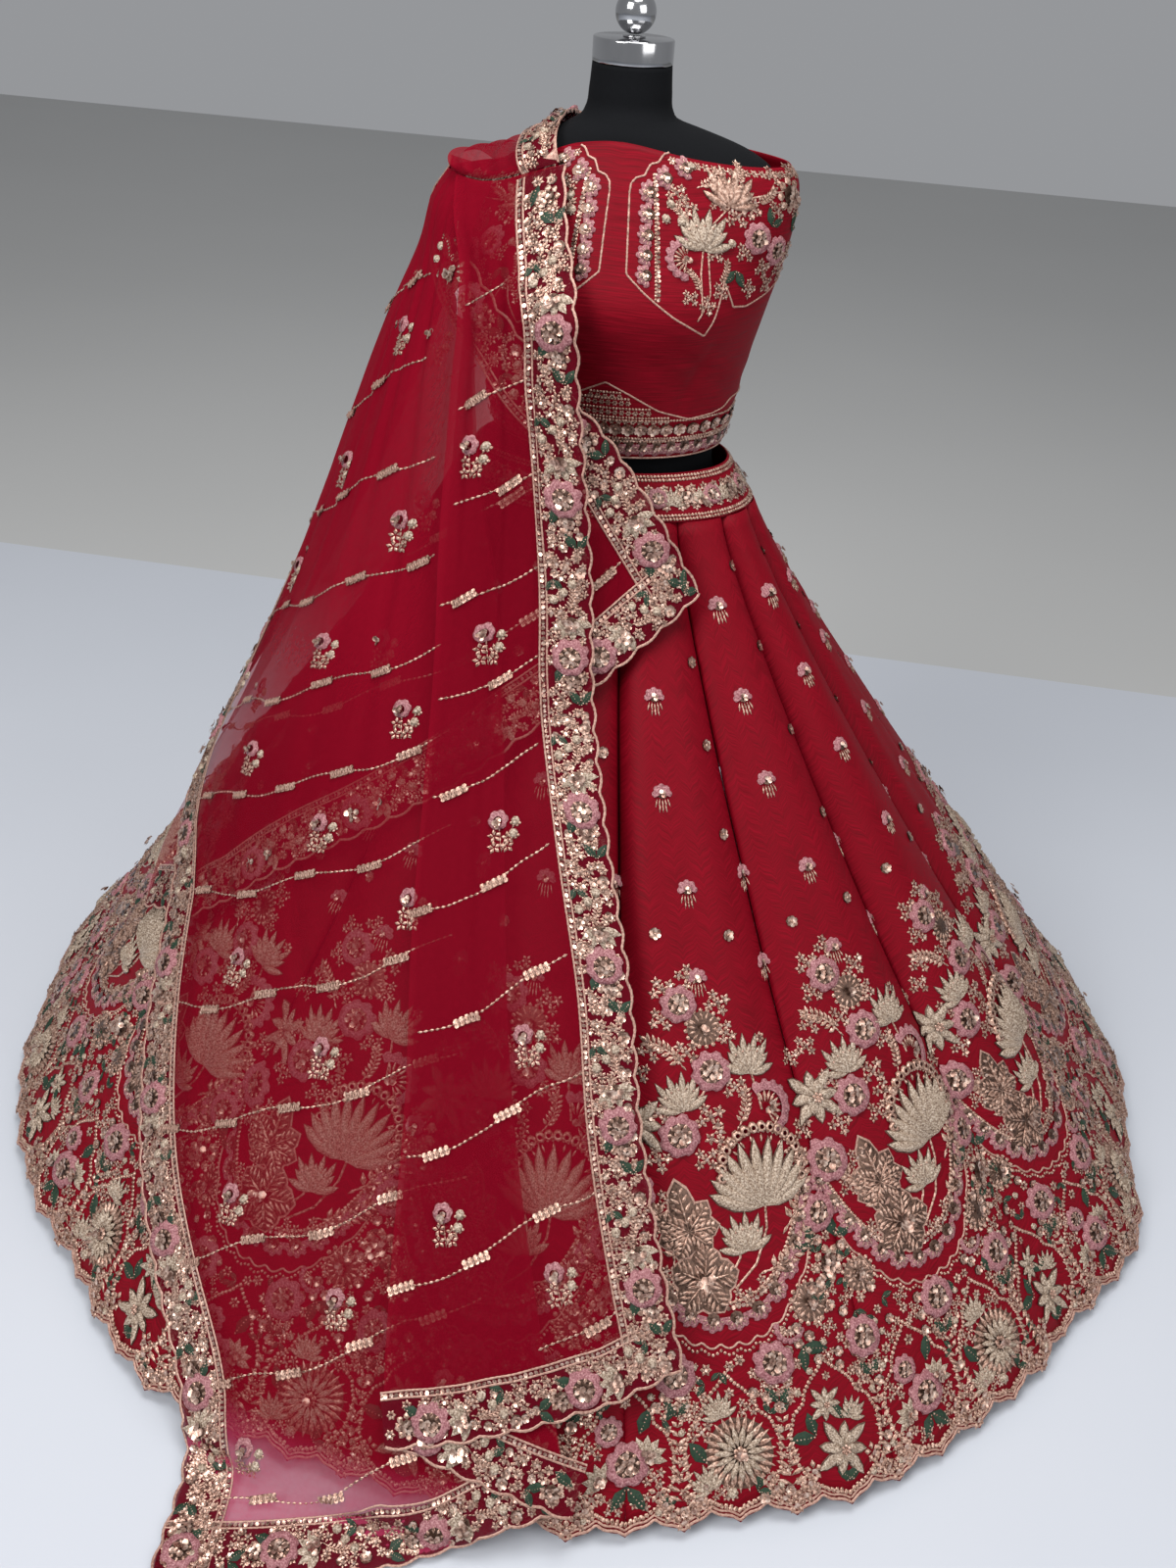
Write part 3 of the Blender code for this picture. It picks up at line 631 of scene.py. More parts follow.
SILK = Finish("raw_silk", ((0.120, 0.0004, 0.0046), (0.170, 0.0006, 0.0068), (0.225, 0.0012, 0.0100)),
              (0.50, 0.66), (26.0, 620.0, 1.0), sheen=0.02, bump=(0.35, 0.0005), on_cloth=True,
              specular=0.09)
NET = Finish("dupatta_net", ((0.185, 0.0009, 0.0095), (0.230, 0.0015, 0.0125)), (0.60, 0.75),
             (1400.0, 1400.0, 1.0), sheen=0.03, alpha=(0.52, 0.58), on_cloth=True, specular=0.04,
             gathered=0.36, lit_from_floor=(0.46, 0.035, 0.10))
BORDER_GROUND = Finish("border_ground", ((0.085, 0.0008, 0.006), (0.120, 0.0014, 0.009)), (0.6, 0.75),
                       (1400.0, 1400.0, 1.0), alpha=(0.80, 0.88), on_cloth=True, specular=0.06)
JERSEY = Finish("black_jersey", ((0.0030, 0.0032, 0.0040), (0.0060, 0.0064, 0.0076)), (0.86, 0.95),
                (900.0, 900.0, 900.0), sheen=0.04, bump=(0.2, 0.0003), specular=0.12)
CHROME = Finish("polished_chrome", ((0.46, 0.46, 0.47), (0.54, 0.54, 0.55)), (0.09, 0.16),
                (40.0, 40.0, 9.0), metallic=1.0)
STAND = Finish("stand_paint", ((0.010, 0.010, 0.011), (0.016, 0.016, 0.018)), (0.40, 0.52),
               (220.0, 220.0, 220.0), bump=(0.08, 0.0002))
FLOOR = Finish("studio_floor", ((0.54, 0.565, 0.615), (0.58, 0.605, 0.655)), (0.55, 0.7), (0.6, 0.6, 0.6))
FAR_FLOOR = Finish("studio_far_floor", ((0.50, 0.50, 0.49), (0.53, 0.53, 0.52)), (0.8, 0.9),
                   (0.4, 0.4, 0.4))


class Thread(Enum):
    """What a part of the embroidery is worked in."""

    BEAD = Finish("champagne_beads", ((0.16, 0.075, 0.050), (0.42, 0.245, 0.180), (0.76, 0.53, 0.42)),
                  (0.26, 0.44), (330.0, 330.0, 330.0), metallic=0.55)
    SEQUIN = Finish("rose_gold_sequins", ((0.21, 0.105, 0.078), (0.50, 0.31, 0.24), (0.84, 0.65, 0.54)),
                    (0.20, 0.36), (210.0, 210.0, 210.0), metallic=0.80)
    CREAM = Finish("cream_thread", ((0.12, 0.072, 0.048), (0.37, 0.272, 0.198), (0.66, 0.550, 0.445)),
                   (0.42, 0.60), (520.0, 520.0, 520.0), metallic=0.15, bump=(0.6, 0.0005), specular=0.4)
    PINK = Finish("pink_thread", ((0.17, 0.050, 0.058), (0.32, 0.125, 0.135), (0.50, 0.26, 0.265)),
                  (0.55, 0.70), (520.0, 520.0, 520.0), bump=(0.6, 0.0005), specular=0.3)
    GREEN = Finish("green_thread", ((0.008, 0.022, 0.012), (0.020, 0.048, 0.024)), (0.5, 0.65),
                   (330.0, 330.0, 330.0), bump=(0.5, 0.0004), specular=0.3)
    CORD = Finish("pink_gold_cord", ((0.30, 0.145, 0.110), (0.56, 0.35, 0.27)), (0.38, 0.52),
                  (420.0, 420.0, 420.0), metallic=0.25, bump=(0.4, 0.0004))
    BRONZE = Finish("bronze_beads", ((0.055, 0.028, 0.020), (0.17, 0.095, 0.065)), (0.25, 0.42),
                    (330.0, 330.0, 330.0), metallic=0.6)


# Motif parts


@dataclass
class Patch:
    """Triangles in a motif's own plane: x across, y up, z off the cloth."""

    points: Array
    faces: Array

    def moved(self, x: float = 0.0, y: float = 0.0, z: float = 0.0, turn: float = 0.0,
              size: float = 1.0, lean: float = 0.0) -> "Patch":
        """Copy that is leant, sized, turned and moved."""
        at = self.points * size
        if lean:
            tip = math.radians(lean)
            at = np.column_stack((at[:, 0], at[:, 1] * math.cos(tip) - at[:, 2] * math.sin(tip),
                                  at[:, 1] * math.sin(tip) + at[:, 2] * math.cos(tip)))
        angle = math.radians(turn)
        at = np.column_stack((at[:, 0] * math.cos(angle) + at[:, 1] * math.sin(angle) + x,
                              at[:, 1] * math.cos(angle) - at[:, 0] * math.sin(angle) + y,
                              at[:, 2] + z))
        return Patch(at, self.faces)


Worked = dict[Thread, Patch]


def merged(parts: Iterable[Patch]) -> Patch:
    """One patch of several."""
    points, faces, count = [], [], 0
    for part in parts:
        points.append(part.points)
        faces.append(part.faces + count)
        count += len(part.points)
    return Patch(np.concatenate(points), np.concatenate(faces))


def patch(points: Sequence[Triple], faces: Sequence[tuple[int, int, int]]) -> Patch:
    """Patch of plain lists."""
    return Patch(np.asarray(points, float), np.asarray(faces, int))


def petal(length: float = 1.0, width: float = 0.4, rise: float = 0.12) -> Patch:
    """Pointed petal with a ridge, from its root up."""
    half = 0.5 * width
    return patch(((0, 0, 0), (-half, 0.38 * length, 0), (0, 0.35 * length, rise),
                  (half, 0.38 * length, 0), (-0.82 * half, 0.68 * length, 0),
                  (0, 0.70 * length, 0.9 * rise), (0.82 * half, 0.68 * length, 0),
                  (0, length, 0.1 * rise)),
                 ((0, 2, 1), (0, 3, 2), (1, 2, 5), (1, 5, 4), (2, 3, 6), (2, 6, 5), (4, 5, 7), (5, 6, 7)))


def bowed(length: float, width: float, rise: float, root: float, tip: float) -> Patch:
    """Full pointed petal with a ridge, that leaves its root at one turn and ends at another."""
    points = [(0.0, 0.0, 0.0)]
    x = y = last = 0.0
    for share, half, high in ((0.24, 0.36, 0.7), (0.50, 0.52, 1.0), (0.78, 0.38, 0.9), (1.0, 0.0, 0.1)):
        angle = math.radians(root + (tip - root) * share)
        x += (share - last) * length * math.sin(angle)
        y += (share - last) * length * math.cos(angle)
        last = share
        if half:
            across = half * width
            points += [(x - across * math.cos(angle), y + across * math.sin(angle), 0.0), (x, y, high * rise),
                       (x + across * math.cos(angle), y - across * math.sin(angle), 0.0)]
        else:
            points.append((x, y, high * rise))
    faces = [(0, 2, 1), (0, 3, 2), (7, 8, 10), (8, 9, 10)]
    for low in (1, 4):
        for side in (0, 1):
            a = low + side
            faces += [(a, a + 1, a + 4), (a, a + 4, a + 3)]
    return patch(points, faces)


def outlined(petals: Sequence[tuple[float, float, float, float, float]], edge: float = 0.020) -> Worked:
    """Cream petals over a beaded outline, each a length, width, rise, root turn and tip turn."""
    under = [bowed(length + edge, width + 2.0 * edge, 0.3 * rise, root, tip).moved(z=0.002 * place)
             for place, (length, width, rise, root, tip) in enumerate(petals)]
    over = [bowed(length, width, rise, root, tip).moved(z=0.012 + 0.002 * place)
            for place, (length, width, rise, root, tip) in enumerate(petals)]
    return {Thread.CREAM: merged(over), Thread.BRONZE: merged(under)}


def stroke(length: float = 1.0, width: float = 0.3, rise: float = 0.12) -> Patch:
    """Single long stitch or bugle bead."""
    half = 0.5 * width
    mid = 0.5 * length
    return patch(((0, 0, 0), (-half, mid, 0), (0, mid, rise), (half, mid, 0), (0, length, 0)),
                 ((0, 3, 2), (0, 2, 1), (1, 2, 4), (3, 4, 2)))


def ringed(radii: Sequence[tuple[float, float]], sides: int, tip: float) -> Patch:
    """Dome of rings, each a radius and a height, closed with a tip."""
    points = []
    for radius, height in radii:
        for side in range(sides):
            angle = 2.0 * math.pi * side / sides
            points.append((radius * math.cos(angle), radius * math.sin(angle), height))
    points.append((0.0, 0.0, tip))
    faces = []
    for ring in range(len(radii) - 1):
        for side in range(sides):
            here = ring * sides + side
            beside = ring * sides + (side + 1) % sides
            faces += [(here, beside, beside + sides), (here, beside + sides, here + sides)]
    last = (len(radii) - 1) * sides
    faces += [(last + side, last + (side + 1) % sides, len(points) - 1) for side in range(sides)]
    return patch(points, faces)


def bead(size: float = 1.0) -> Patch:
    """Small bead."""
    return ringed(((0.5, 0.0),), 5, 0.62).moved(size=size)


def sequin(size: float = 1.0, lean: float = 0.0, turn: float = 0.0) -> Patch:
    """Cupped disc, leant so that it catches the light."""
    return ringed(((0.5, 0.10),), 6, 0.02).moved(size=size, lean=lean).moved(turn=turn)


def ball(size: float = 1.0) -> Patch:
    """Padded round bud."""
    return ringed(((0.5, 0.0), (0.38, 0.30)), 7, 0.42).moved(size=size)


def frill(inner: float, outer: float, lobes: int, arc: float = 360.0, rise: float = 0.10,
          notch: float = 0.16) -> Patch:
    """Band of thread round a centre, with a lobed outer edge."""
    steps = lobes * 3
    closed = arc >= 360.0
    count = steps if closed else steps + 1
    points = []
    for step in range(count):
        angle = math.radians(-0.5 * arc + arc * step / steps)
        lobe = abs(math.sin(math.pi * lobes * step / steps))
        for radius, height in ((inner, rise), (0.55 * (inner + outer), 1.3 * rise),
                               (outer * (1.0 - notch + notch * lobe), 0.0)):
            points.append((radius * math.sin(angle), radius * math.cos(angle), height))
    faces = []
    for step in range(steps):
        here = 3 * step
        beside = 3 * ((step + 1) % count)
        for ring in (0, 1):
            faces += [(here + ring, beside + ring + 1, beside + ring),
                      (here + ring, here + ring + 1, beside + ring + 1)]
    return patch(points, faces)


def round_about(part: Patch, count: int, start: float = 0.0, arc: float = 360.0, **shift: float) -> Patch:
    """Copies of a part fanned round a centre.

    Args:
        part: What is copied.
        count: How many copies.
        start: Turn of the fan's middle.
        arc: Turn that the fan takes up.
        shift: How a copy is moved before it is turned.

    Returns:
        The copies as one patch.
    """
    step = arc / count if arc >= 360.0 else arc / max(count - 1, 1)
    first = start if arc >= 360.0 else start - 0.5 * arc
    return merged(part.moved(**shift).moved(turn=first + step * place) for place in range(count))


class Motif(Enum):
    """Motifs of the embroidery."""

    BEAD = "bead"
    BUGLE = "bugle"
    SEQUIN = "sequin"
    FLORET = "floret"
    BLOSSOM = "blossom"
    ROSE = "rose"
    GOLD_ROSE = "gold_rose"
    WHEEL = "wheel"
    SUNFLOWER = "sunflower"
    LOTUS = "lotus"
    GREAT_LOTUS = "great_lotus"
    STAR_LOTUS = "star_lotus"
    PALM_FLOWER = "palm_flower"
    RIBBED_LEAF = "ribbed_leaf"
    HALF_ROSE = "half_rose"
    SHELL = "shell"
    LEAF = "leaf"
    LEAF_PAIR = "leaf_pair"
    BUD = "bud"
    SPRIG = "sprig"
    CLUSTER = "cluster"
    BELL = "bell"
    FRINGED = "fringed"
    FILLER = "filler"
    LADDER = "ladder"
    POSY = "posy"


# Rows of a motif, its two places, its size and its turn
Sewing = tuple[tuple[Motif, float, float, float, float], ...]


def sequin_heap(count: int, reach: float, size: float, seed: int) -> Patch:
    """Sequins heaped round a centre, each leant its own way."""
    dice = np.random.default_rng(seed)
    heap = []
    for place in range(count):
        angle = 2.4 * place
        away = reach * math.sqrt((place + 0.4) / count)
        heap.append(sequin(size, lean=float(dice.uniform(-26, 26)), turn=float(dice.uniform(0, 360)))
                    .moved(x=away * math.cos(angle), y=away * math.sin(angle),
                           z=0.10 + 0.05 * size + 0.06 * float(dice.random())))
    return merged(heap)


class MotifKit:
    """Makes each motif once, about 1 across or 1 long, to be sewn many times."""

    def __init__(self) -> None:
        """Works every motif."""
        self.worked: dict[Motif, Worked] = {motif: getattr(self, motif.value)() for motif in Motif}

    def bead(self) -> Worked:
        """Seed bead."""
        return {Thread.BEAD: bead()}

    def bugle(self) -> Worked:
        """Bugle bead."""
        return {Thread.BEAD: stroke(1.0, 0.46, 0.24).moved(y=-0.5)}

    def sequin(self) -> Worked:
        """Single sequin."""
        return {Thread.SEQUIN: sequin(lean=14.0)}

    def floret(self) -> Worked:
        """Five looped petals of seed beads round a sequin."""
        return {Thread.BEAD: round_about(stroke(0.42, 0.30, 0.14), 6, y=0.08),
                Thread.SEQUIN: sequin(0.28, lean=12.0).moved(z=0.10)}

    def blossom(self) -> Worked:
        """Small round flower of sequins with dark gaps."""
        return {Thread.SEQUIN: round_about(sequin(0.40, lean=18.0), 6, y=0.30, z=0.06),
                Thread.BRONZE: ringed(((0.46, 0.0),), 8, 0.05),
                Thread.BEAD: bead(0.26).moved(z=0.08)}

    def rose(self) -> Worked:
        """Pink ruffled rose with a heart of beads and sequins."""
        return {Thread.PINK: frill(0.27, 0.50, 8, rise=0.07, notch=0.20),
                Thread.BRONZE: ringed(((0.30, 0.05),), 10, 0.07),
                Thread.BEAD: round_about(stroke(0.15, 0.09, 0.05), 9, y=0.15, z=0.07),
                Thread.SEQUIN: sequin_heap(7, 0.19, 0.17, 3)}

    def gold_rose(self) -> Worked:
        """Rose of sequins within a beaded rim."""
        return {Thread.BEAD: round_about(petal(0.28, 0.26, 0.08), 8, y=0.24),
                Thread.BRONZE: ringed(((0.28, 0.03),), 9, 0.05),
                Thread.SEQUIN: sequin_heap(8, 0.26, 0.20, 5)}

    def wheel(self) -> Worked:
        """Round flower of beaded rays in a beaded rim."""
        return {Thread.BEAD: merged((round_about(bead(0.12), 16, y=0.44),
                                     round_about(stroke(0.24, 0.07, 0.05), 14, y=0.17))),
                Thread.BRONZE: ringed(((0.42, 0.0),), 12, 0.02),
                Thread.SEQUIN: sequin_heap(3, 0.08, 0.17, 9)}

    def sunflower(self) -> Worked:
        """Two rows of narrow beaded petals round a beaded heart."""
        return {Thread.BEAD: merged((round_about(stroke(0.30, 0.075, 0.05), 26, y=0.19),
                                     round_about(bead(0.08), 6, y=0.06, z=0.05))),
                Thread.BRONZE: ringed(((0.44, 0.0),), 14, 0.01),
                Thread.CREAM: round_about(petal(0.26, 0.085, 0.06), 15, start=9.0, y=0.08, z=0.04),
                Thread.SEQUIN: sequin_heap(2, 0.03, 0.11, 4)}

    def lotus(self) -> Worked:
        """Small lotus in cream thread."""
        back = [(0.86, 0.150, 0.05, turn, 0.6 * turn) for turn in (-44.0, -15.0, 15.0, 44.0)]
        front = [(0.64, 0.165, 0.09, turn, 0.78 * turn)
                 for turn in (-84.0, 84.0, -56.0, 56.0, -28.0, 28.0, 0.0)]
        worked = outlined(back + front)
        worked[Thread.BEAD] = round_about(bead(0.06), 5, arc=80.0, y=0.50, z=0.10)
        return {thread: part.moved(y=-0.36) for thread, part in worked.items()}

    def great_lotus(self) -> Worked:
        """Full lotus in cream thread under a beaded arch of small loops."""
        petals = []
        for place in (0, 10, 1, 9, 2, 8, 3, 7, 4, 6, 5):
            turn = -98.0 + 17.5 * place
            level = math.cos(math.radians(turn))
            petals.append((0.58 + 0.12 * level, 0.136 - 0.02 * level, 0.070, turn, 0.70 * turn))
        worked = outlined(petals, 0.014)
        arch = round_about(frill(0.024, 0.064, 3, rise=0.03), 17, arc=204.0, y=0.44, z=0.01).moved(y=0.36)
        rim = round_about(bead(0.036), 26, arc=206.0, y=0.39).moved(y=0.36)
        worked[Thread.BEAD] = merged((arch, rim, round_about(stroke(0.09, 0.03, 0.03), 11, arc=200.0, y=0.28)
                                      .moved(y=0.36)))
        return {thread: part.moved(y=-0.38) for thread, part in worked.items()}

    def star_lotus(self) -> Worked:
        """Open lotus seen from above, with its long petals below."""
        low = [(0.40 + 0.12 * (place % 2), 0.150, 0.05, 45.0 * place, 45.0 * place + 8.0)
               for place in range(8)]
        high = [(0.28, 0.115, 0.07, 22.0 + 60.0 * place, 30.0 + 60.0 * place) for place in range(6)]
        worked = outlined(low + high)
        worked[Thread.BEAD] = merged((round_about(bead(0.06), 6, y=0.06, z=0.11), bead(0.08).moved(z=0.11)))
        return worked

    def ribbed(self, lobes: Sequence[Triple]) -> Worked:
        """Beaded lobes with slanting ribs, each a turn, a length and a width."""
        ground, ribs, edge = [], [], []
        for turn, length, width in lobes:
            ground.append(bowed(length, width, 0.02, 0.0, 0.0).moved(turn=turn))
            edge.append(bowed(1.06 * length, 1.14 * width, 0.004, 0.0, 0.0).moved(turn=turn))
            for row in range(4):
                away = length * (0.16 + 0.19 * row)
                reach = width * (0.46, 0.56, 0.50, 0.34)[row]
                for side in (-1.0, 1.0):
                    ribs.append(stroke(reach, 0.050, 0.035).moved(turn=side * 46.0).moved(y=away, z=0.02)
                                .moved(turn=turn))
            ribs.append(stroke(0.86 * length, 0.035, 0.05).moved(z=0.02, turn=turn))
        return {Thread.BRONZE: merged(ground).moved(z=0.01), Thread.CORD: merged(edge),
                Thread.BEAD: merged(ribs)}

    def palm_flower(self) -> Worked:
        """Broad flower of five ribbed petals."""
        worked = self.ribbed([(72.0 * place, 0.47, 0.44) for place in range(5)])
        worked[Thread.SEQUIN] = sequin_heap(5, 0.10, 0.12, 6)
        return worked

    def ribbed_leaf(self) -> Worked:
        """Broad leaf of seven ribbed lobes."""
        worked = self.ribbed(((-142.0, 0.36, 0.30), (142.0, 0.36, 0.30), (-96.0, 0.40, 0.28),
                              (96.0, 0.40, 0.28), (-50.0, 0.44, 0.30), (50.0, 0.44, 0.30), (0.0, 0.66, 0.32)))
        return {thread: part.moved(y=-0.12) for thread, part in worked.items()}

    def half_rose(self) -> Worked:
        """Half rose: a pink frill over beaded rays."""
        return {Thread.PINK: frill(0.52, 0.84, 8, arc=196.0, rise=0.05).moved(y=-0.3, size=0.62),
                Thread.BEAD: merged((round_about(stroke(0.26, 0.06, 0.04), 9, arc=170.0, y=0.10),
                                     round_about(bead(0.05), 9, arc=180.0, y=0.36))).moved(y=-0.3),
                Thread.SEQUIN: sequin_heap(3, 0.09, 0.14, 8).moved(y=-0.22)}

    def shell(self) -> Worked:
        """Pink scalloped shell with sequins at its root."""
        rays = round_about(stroke(0.24, 0.07, 0.05), 6, arc=150.0, y=0.30, z=0.10)
        return {Thread.PINK: frill(0.40, 0.88, 5, arc=200.0, rise=0.09, notch=0.24).moved(y=-0.35, size=0.80),
                Thread.BRONZE: ringed(((0.34, 0.05),), 8, 0.08).moved(y=-0.26),
                Thread.SEQUIN: sequin_heap(5, 0.17, 0.19, 2).moved(y=-0.20, z=0.05),
                Thread.BEAD: rays.moved(y=-0.35)}

    def leaf(self) -> Worked:
        """Green leaf with a beaded vein."""
        vein = merged(bead(0.075).moved(y=0.10 + 0.13 * place, z=0.09) for place in range(6))
        return {Thread.GREEN: petal(1.0, 0.50, 0.12), Thread.BEAD: vein}

    def leaf_pair(self) -> Worked:
        """Two green leaves from one root."""
        leaf = self.leaf()
        return {thread: merged((part.moved(turn=-38.0, size=0.9), part.moved(turn=40.0, size=0.8)))
                for thread, part in leaf.items()}

    def bud(self) -> Worked:
        """Cream ball bud with beads at its foot."""
        return {Thread.CREAM: ball(0.9),
                Thread.BEAD: round_about(bead(0.22), 3, start=180.0, arc=80.0, y=0.5)}

    def sprig(self) -> Worked:
        """Curved stem with small beaded leaves along it."""
        parts = []
        for place in range(9):
            share = place / 8.0
            x = 0.16 * math.sin(2.4 * share)
            y = share * 0.84
            parts.append(stroke(0.16, 0.045, 0.03).moved(x=x, y=y, turn=18.0 * math.cos(2.4 * share)))
            if place > 1:
                for side in (-1.0, 1.0):
                    parts.append(stroke(0.19, 0.09, 0.06).moved(x=x, y=y, turn=side * 48.0))
        parts.append(stroke(0.20, 0.10, 0.06).moved(x=0.11, y=0.86))
        return {Thread.BEAD: merged(parts).moved(y=-0.5)}

    def ladder(self) -> Worked:
        """Short double row of sequins along a vine."""
        discs, bars = [], []
        for place in range(-4, 5):
            disc = sequin(0.19, lean=20.0 * (-1.0) ** place, turn=90.0)
            discs += [disc.moved(x=0.085 * side, y=0.115 * place, z=0.04) for side in (-1.0, 1.0)]
            bars.append(stroke(0.24, 0.05, 0.06).moved(turn=90.0).moved(x=-0.12, y=0.115 * place, z=0.07))
        return {Thread.BEAD: merged(discs), Thread.CORD: merged(bars)}

    def posy(self) -> Worked:
        """Pink flower and two cream ball buds on beaded stems, with florets at its foot."""
        spots = ((-0.13, 0.24), (0.24, 0.16), (0.16, -0.10))
        stems = []
        for x, y in spots:
            for place in range(6):
                share = place / 6.0
                stems.append(stroke(0.13, 0.035, 0.03).moved(
                    x=-0.16 + (x + 0.16) * share ** 1.6, y=-0.48 + (y + 0.42) * share,
                    turn=math.degrees(math.atan2((x + 0.16) * 1.6 * share ** 0.6, y + 0.42))))
        small = round_about(stroke(0.13, 0.08, 0.04), 5, y=0.02)
        cap = round_about(bead(0.07), 4, start=190.0, arc=120.0, y=0.11)
        caps = [cap.moved(x=x, y=y) for x, y in spots[1:]]
        feet = [small.moved(x=x, y=y)
                for x, y in ((-0.30, -0.34), (-0.02, -0.36), (-0.26, -0.10), (0.02, -0.18))]
        return {Thread.PINK: frill(0.10, 0.23, 6, rise=0.05).moved(x=spots[0][0], y=spots[0][1]),
                Thread.SEQUIN: sequin_heap(4, 0.08, 0.13, 7).moved(x=spots[0][0], y=spots[0][1]),
                Thread.CREAM: merged(ball(0.19).moved(x=x, y=y) for x, y in spots[1:]),
                Thread.BEAD: merged(stems + caps + feet)}

    def cluster(self) -> Worked:
        """Loose heap of florets and sequins."""
        small = round_about(stroke(0.20, 0.13, 0.06), 5, y=0.03)
        spots = ((-0.28, -0.16), (0.24, -0.24), (0.30, 0.18), (-0.20, 0.26), (0.02, 0.02))
        return {Thread.BEAD: merged(small.moved(x=x, y=y, turn=40.0 * x) for x, y in spots),
                Thread.SEQUIN: merged(sequin(0.17, lean=20.0, turn=300.0 * x).moved(x=x, y=y, z=0.06)
                                      for x, y in spots)}

    def bell(self) -> Worked:
        """Bell flower of sequins over cream petals."""
        return {Thread.CREAM: round_about(petal(0.72, 0.30, 0.08), 5, arc=130.0).moved(y=-0.3),
                Thread.SEQUIN: sequin_heap(6, 0.20, 0.24, 11).moved(y=-0.18, z=0.04),
                Thread.BRONZE: ringed(((0.22, 0.02),), 8, 0.04).moved(y=-0.18)}

    def fringed(self) -> Worked:
        """Oval flower with a pink cap and a fringe of bugle beads."""
        cap = frill(0.14, 0.62, 5, arc=230.0, rise=0.10).moved(size=0.55, y=0.10)
        fringe = merged(stroke(0.30, 0.055, 0.05).moved(x=0.085 * place, y=-0.06 - 0.17 * row,
                                                        turn=180.0 - 7.0 * place)
                        for place in (-2, -1, 0, 1, 2) for row in (0, 1) if abs(place) + row < 3)
        return {Thread.PINK: cap, Thread.BRONZE: ringed(((0.17, 0.03),), 8, 0.06).moved(y=0.10),
                Thread.SEQUIN: sequin_heap(3, 0.09, 0.15, 1).moved(y=0.12),
                Thread.BEAD: fringe}

    def filler(self) -> Worked:
        """Tall point of feathered beads with florets at its foot."""
        feather = []
        for row in range(9):
            for side in (-1.0, 1.0):
                feather.append(stroke(0.20 - 0.012 * row, 0.06, 0.04).moved(turn=side * (66.0 - 3.0 * row))
                               .moved(y=0.02 + 0.10 * row))
        small = round_about(stroke(0.10, 0.07, 0.03), 5, y=0.02)
        spots = ((-0.20, 0.02), (0.20, 0.02), (-0.12, -0.10), (0.12, -0.10), (0.0, -0.20), (-0.27, 0.14),
                 (0.27, 0.14))
        feather += [small.moved(x=x, y=y) for x, y in spots]
        return {Thread.BEAD: merged(feather).moved(y=-0.35),
                Thread.SEQUIN: merged(sequin(0.075, lean=20.0, turn=200.0 * x).moved(x=x, y=y, z=0.03)
                                      for x, y in spots).moved(y=-0.35)}


# Meshes


def mesh_object(name: str, points: Array, faces: Array) -> Piece:
    """Makes an object of triangles or quads.

    Args:
        name: Name of the piece.
        points: Its points, one row each.
        faces: Point numbers of each face, one row each.

    Returns:
        The linked object.
    """
    mesh = bpy.data.meshes.new(name)
    mesh.vertices.add(len(points))
    mesh.vertices.foreach_set("co", np.ascontiguousarray(points, dtype=np.float32).ravel())
    sides = faces.shape[1]
    mesh.loops.add(faces.size)
    mesh.loops.foreach_set("vertex_index", np.ascontiguousarray(faces, dtype=np.int32).ravel())
    mesh.polygons.add(len(faces))
    mesh.polygons.foreach_set("loop_start", np.arange(0, faces.size, sides, dtype=np.int32))
    mesh.update(calc_edges=True)
    mesh.polygons.foreach_set("use_smooth", np.ones(len(faces), dtype=bool))
    piece = bpy.data.objects.new(name, mesh)
    bpy.context.scene.collection.objects.link(piece)
    return piece


def cloth_sheet(name: str, points: Array, wall: float) -> Piece:
    """Makes a sheet of cloth from a grid of points, with its own measure as the UV map.

    Args:
        name: Name of the piece.
        points: Rows and columns of points; columns run to the right seen from outside.
        wall: Thickness, inwards from the grid, or 0 for net.

    Returns:
        The piece.
    """
    rows, columns = points.shape[:2]
    number = np.arange(rows * columns).reshape(rows, columns)
    faces = np.stack((number[:-1, :-1], number[:-1, 1:], number[1:, 1:], number[1:, :-1]), axis=-1)
    piece = mesh_object(name, points.reshape(-1, 3), faces.reshape(-1, 4))
    across = np.linalg.norm(np.diff(points, axis=1), axis=2)
    across = np.concatenate((np.zeros((rows, 1)), np.cumsum(across, axis=1)), axis=1)
    across -= across[:, columns // 2:columns // 2 + 1]
    along = np.linalg.norm(np.diff(points, axis=0), axis=2)
    along = np.concatenate((np.zeros((1, columns)), np.cumsum(along, axis=0)), axis=0)
    measure = np.stack((across, along), axis=-1).reshape(-1, 2)
    layer = piece.data.uv_layers.new(name="cloth")
    corner = np.empty(len(piece.data.loops), dtype=np.int32)
    piece.data.loops.foreach_get("vertex_index", corner)
    layer.data.foreach_set("uv", measure[corner].astype(np.float32).ravel())
    if wall:
        solid = piece.modifiers.new("wall", "SOLIDIFY")
        solid.thickness = wall
        solid.offset = -1.0
        solid.use_even_offset = False
        bpy.ops.object.select_all(action="DESELECT")
        bpy.context.view_layer.objects.active = piece
        piece.select_set(True)
        bpy.ops.object.modifier_apply(modifier="wall")
    return piece


def place_in(piece: Piece, node: str = "") -> Piece:
    """Fixes a finished piece to the garment.

    Args:
        piece: The piece.
        node: The solid that it takes the place of, if any.

    Returns:
        The piece.
    """
    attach(piece, "root")
    if node:
        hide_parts(node)
    log.info("%s: %d faces", piece.name, len(piece.data.polygons))
    return piece


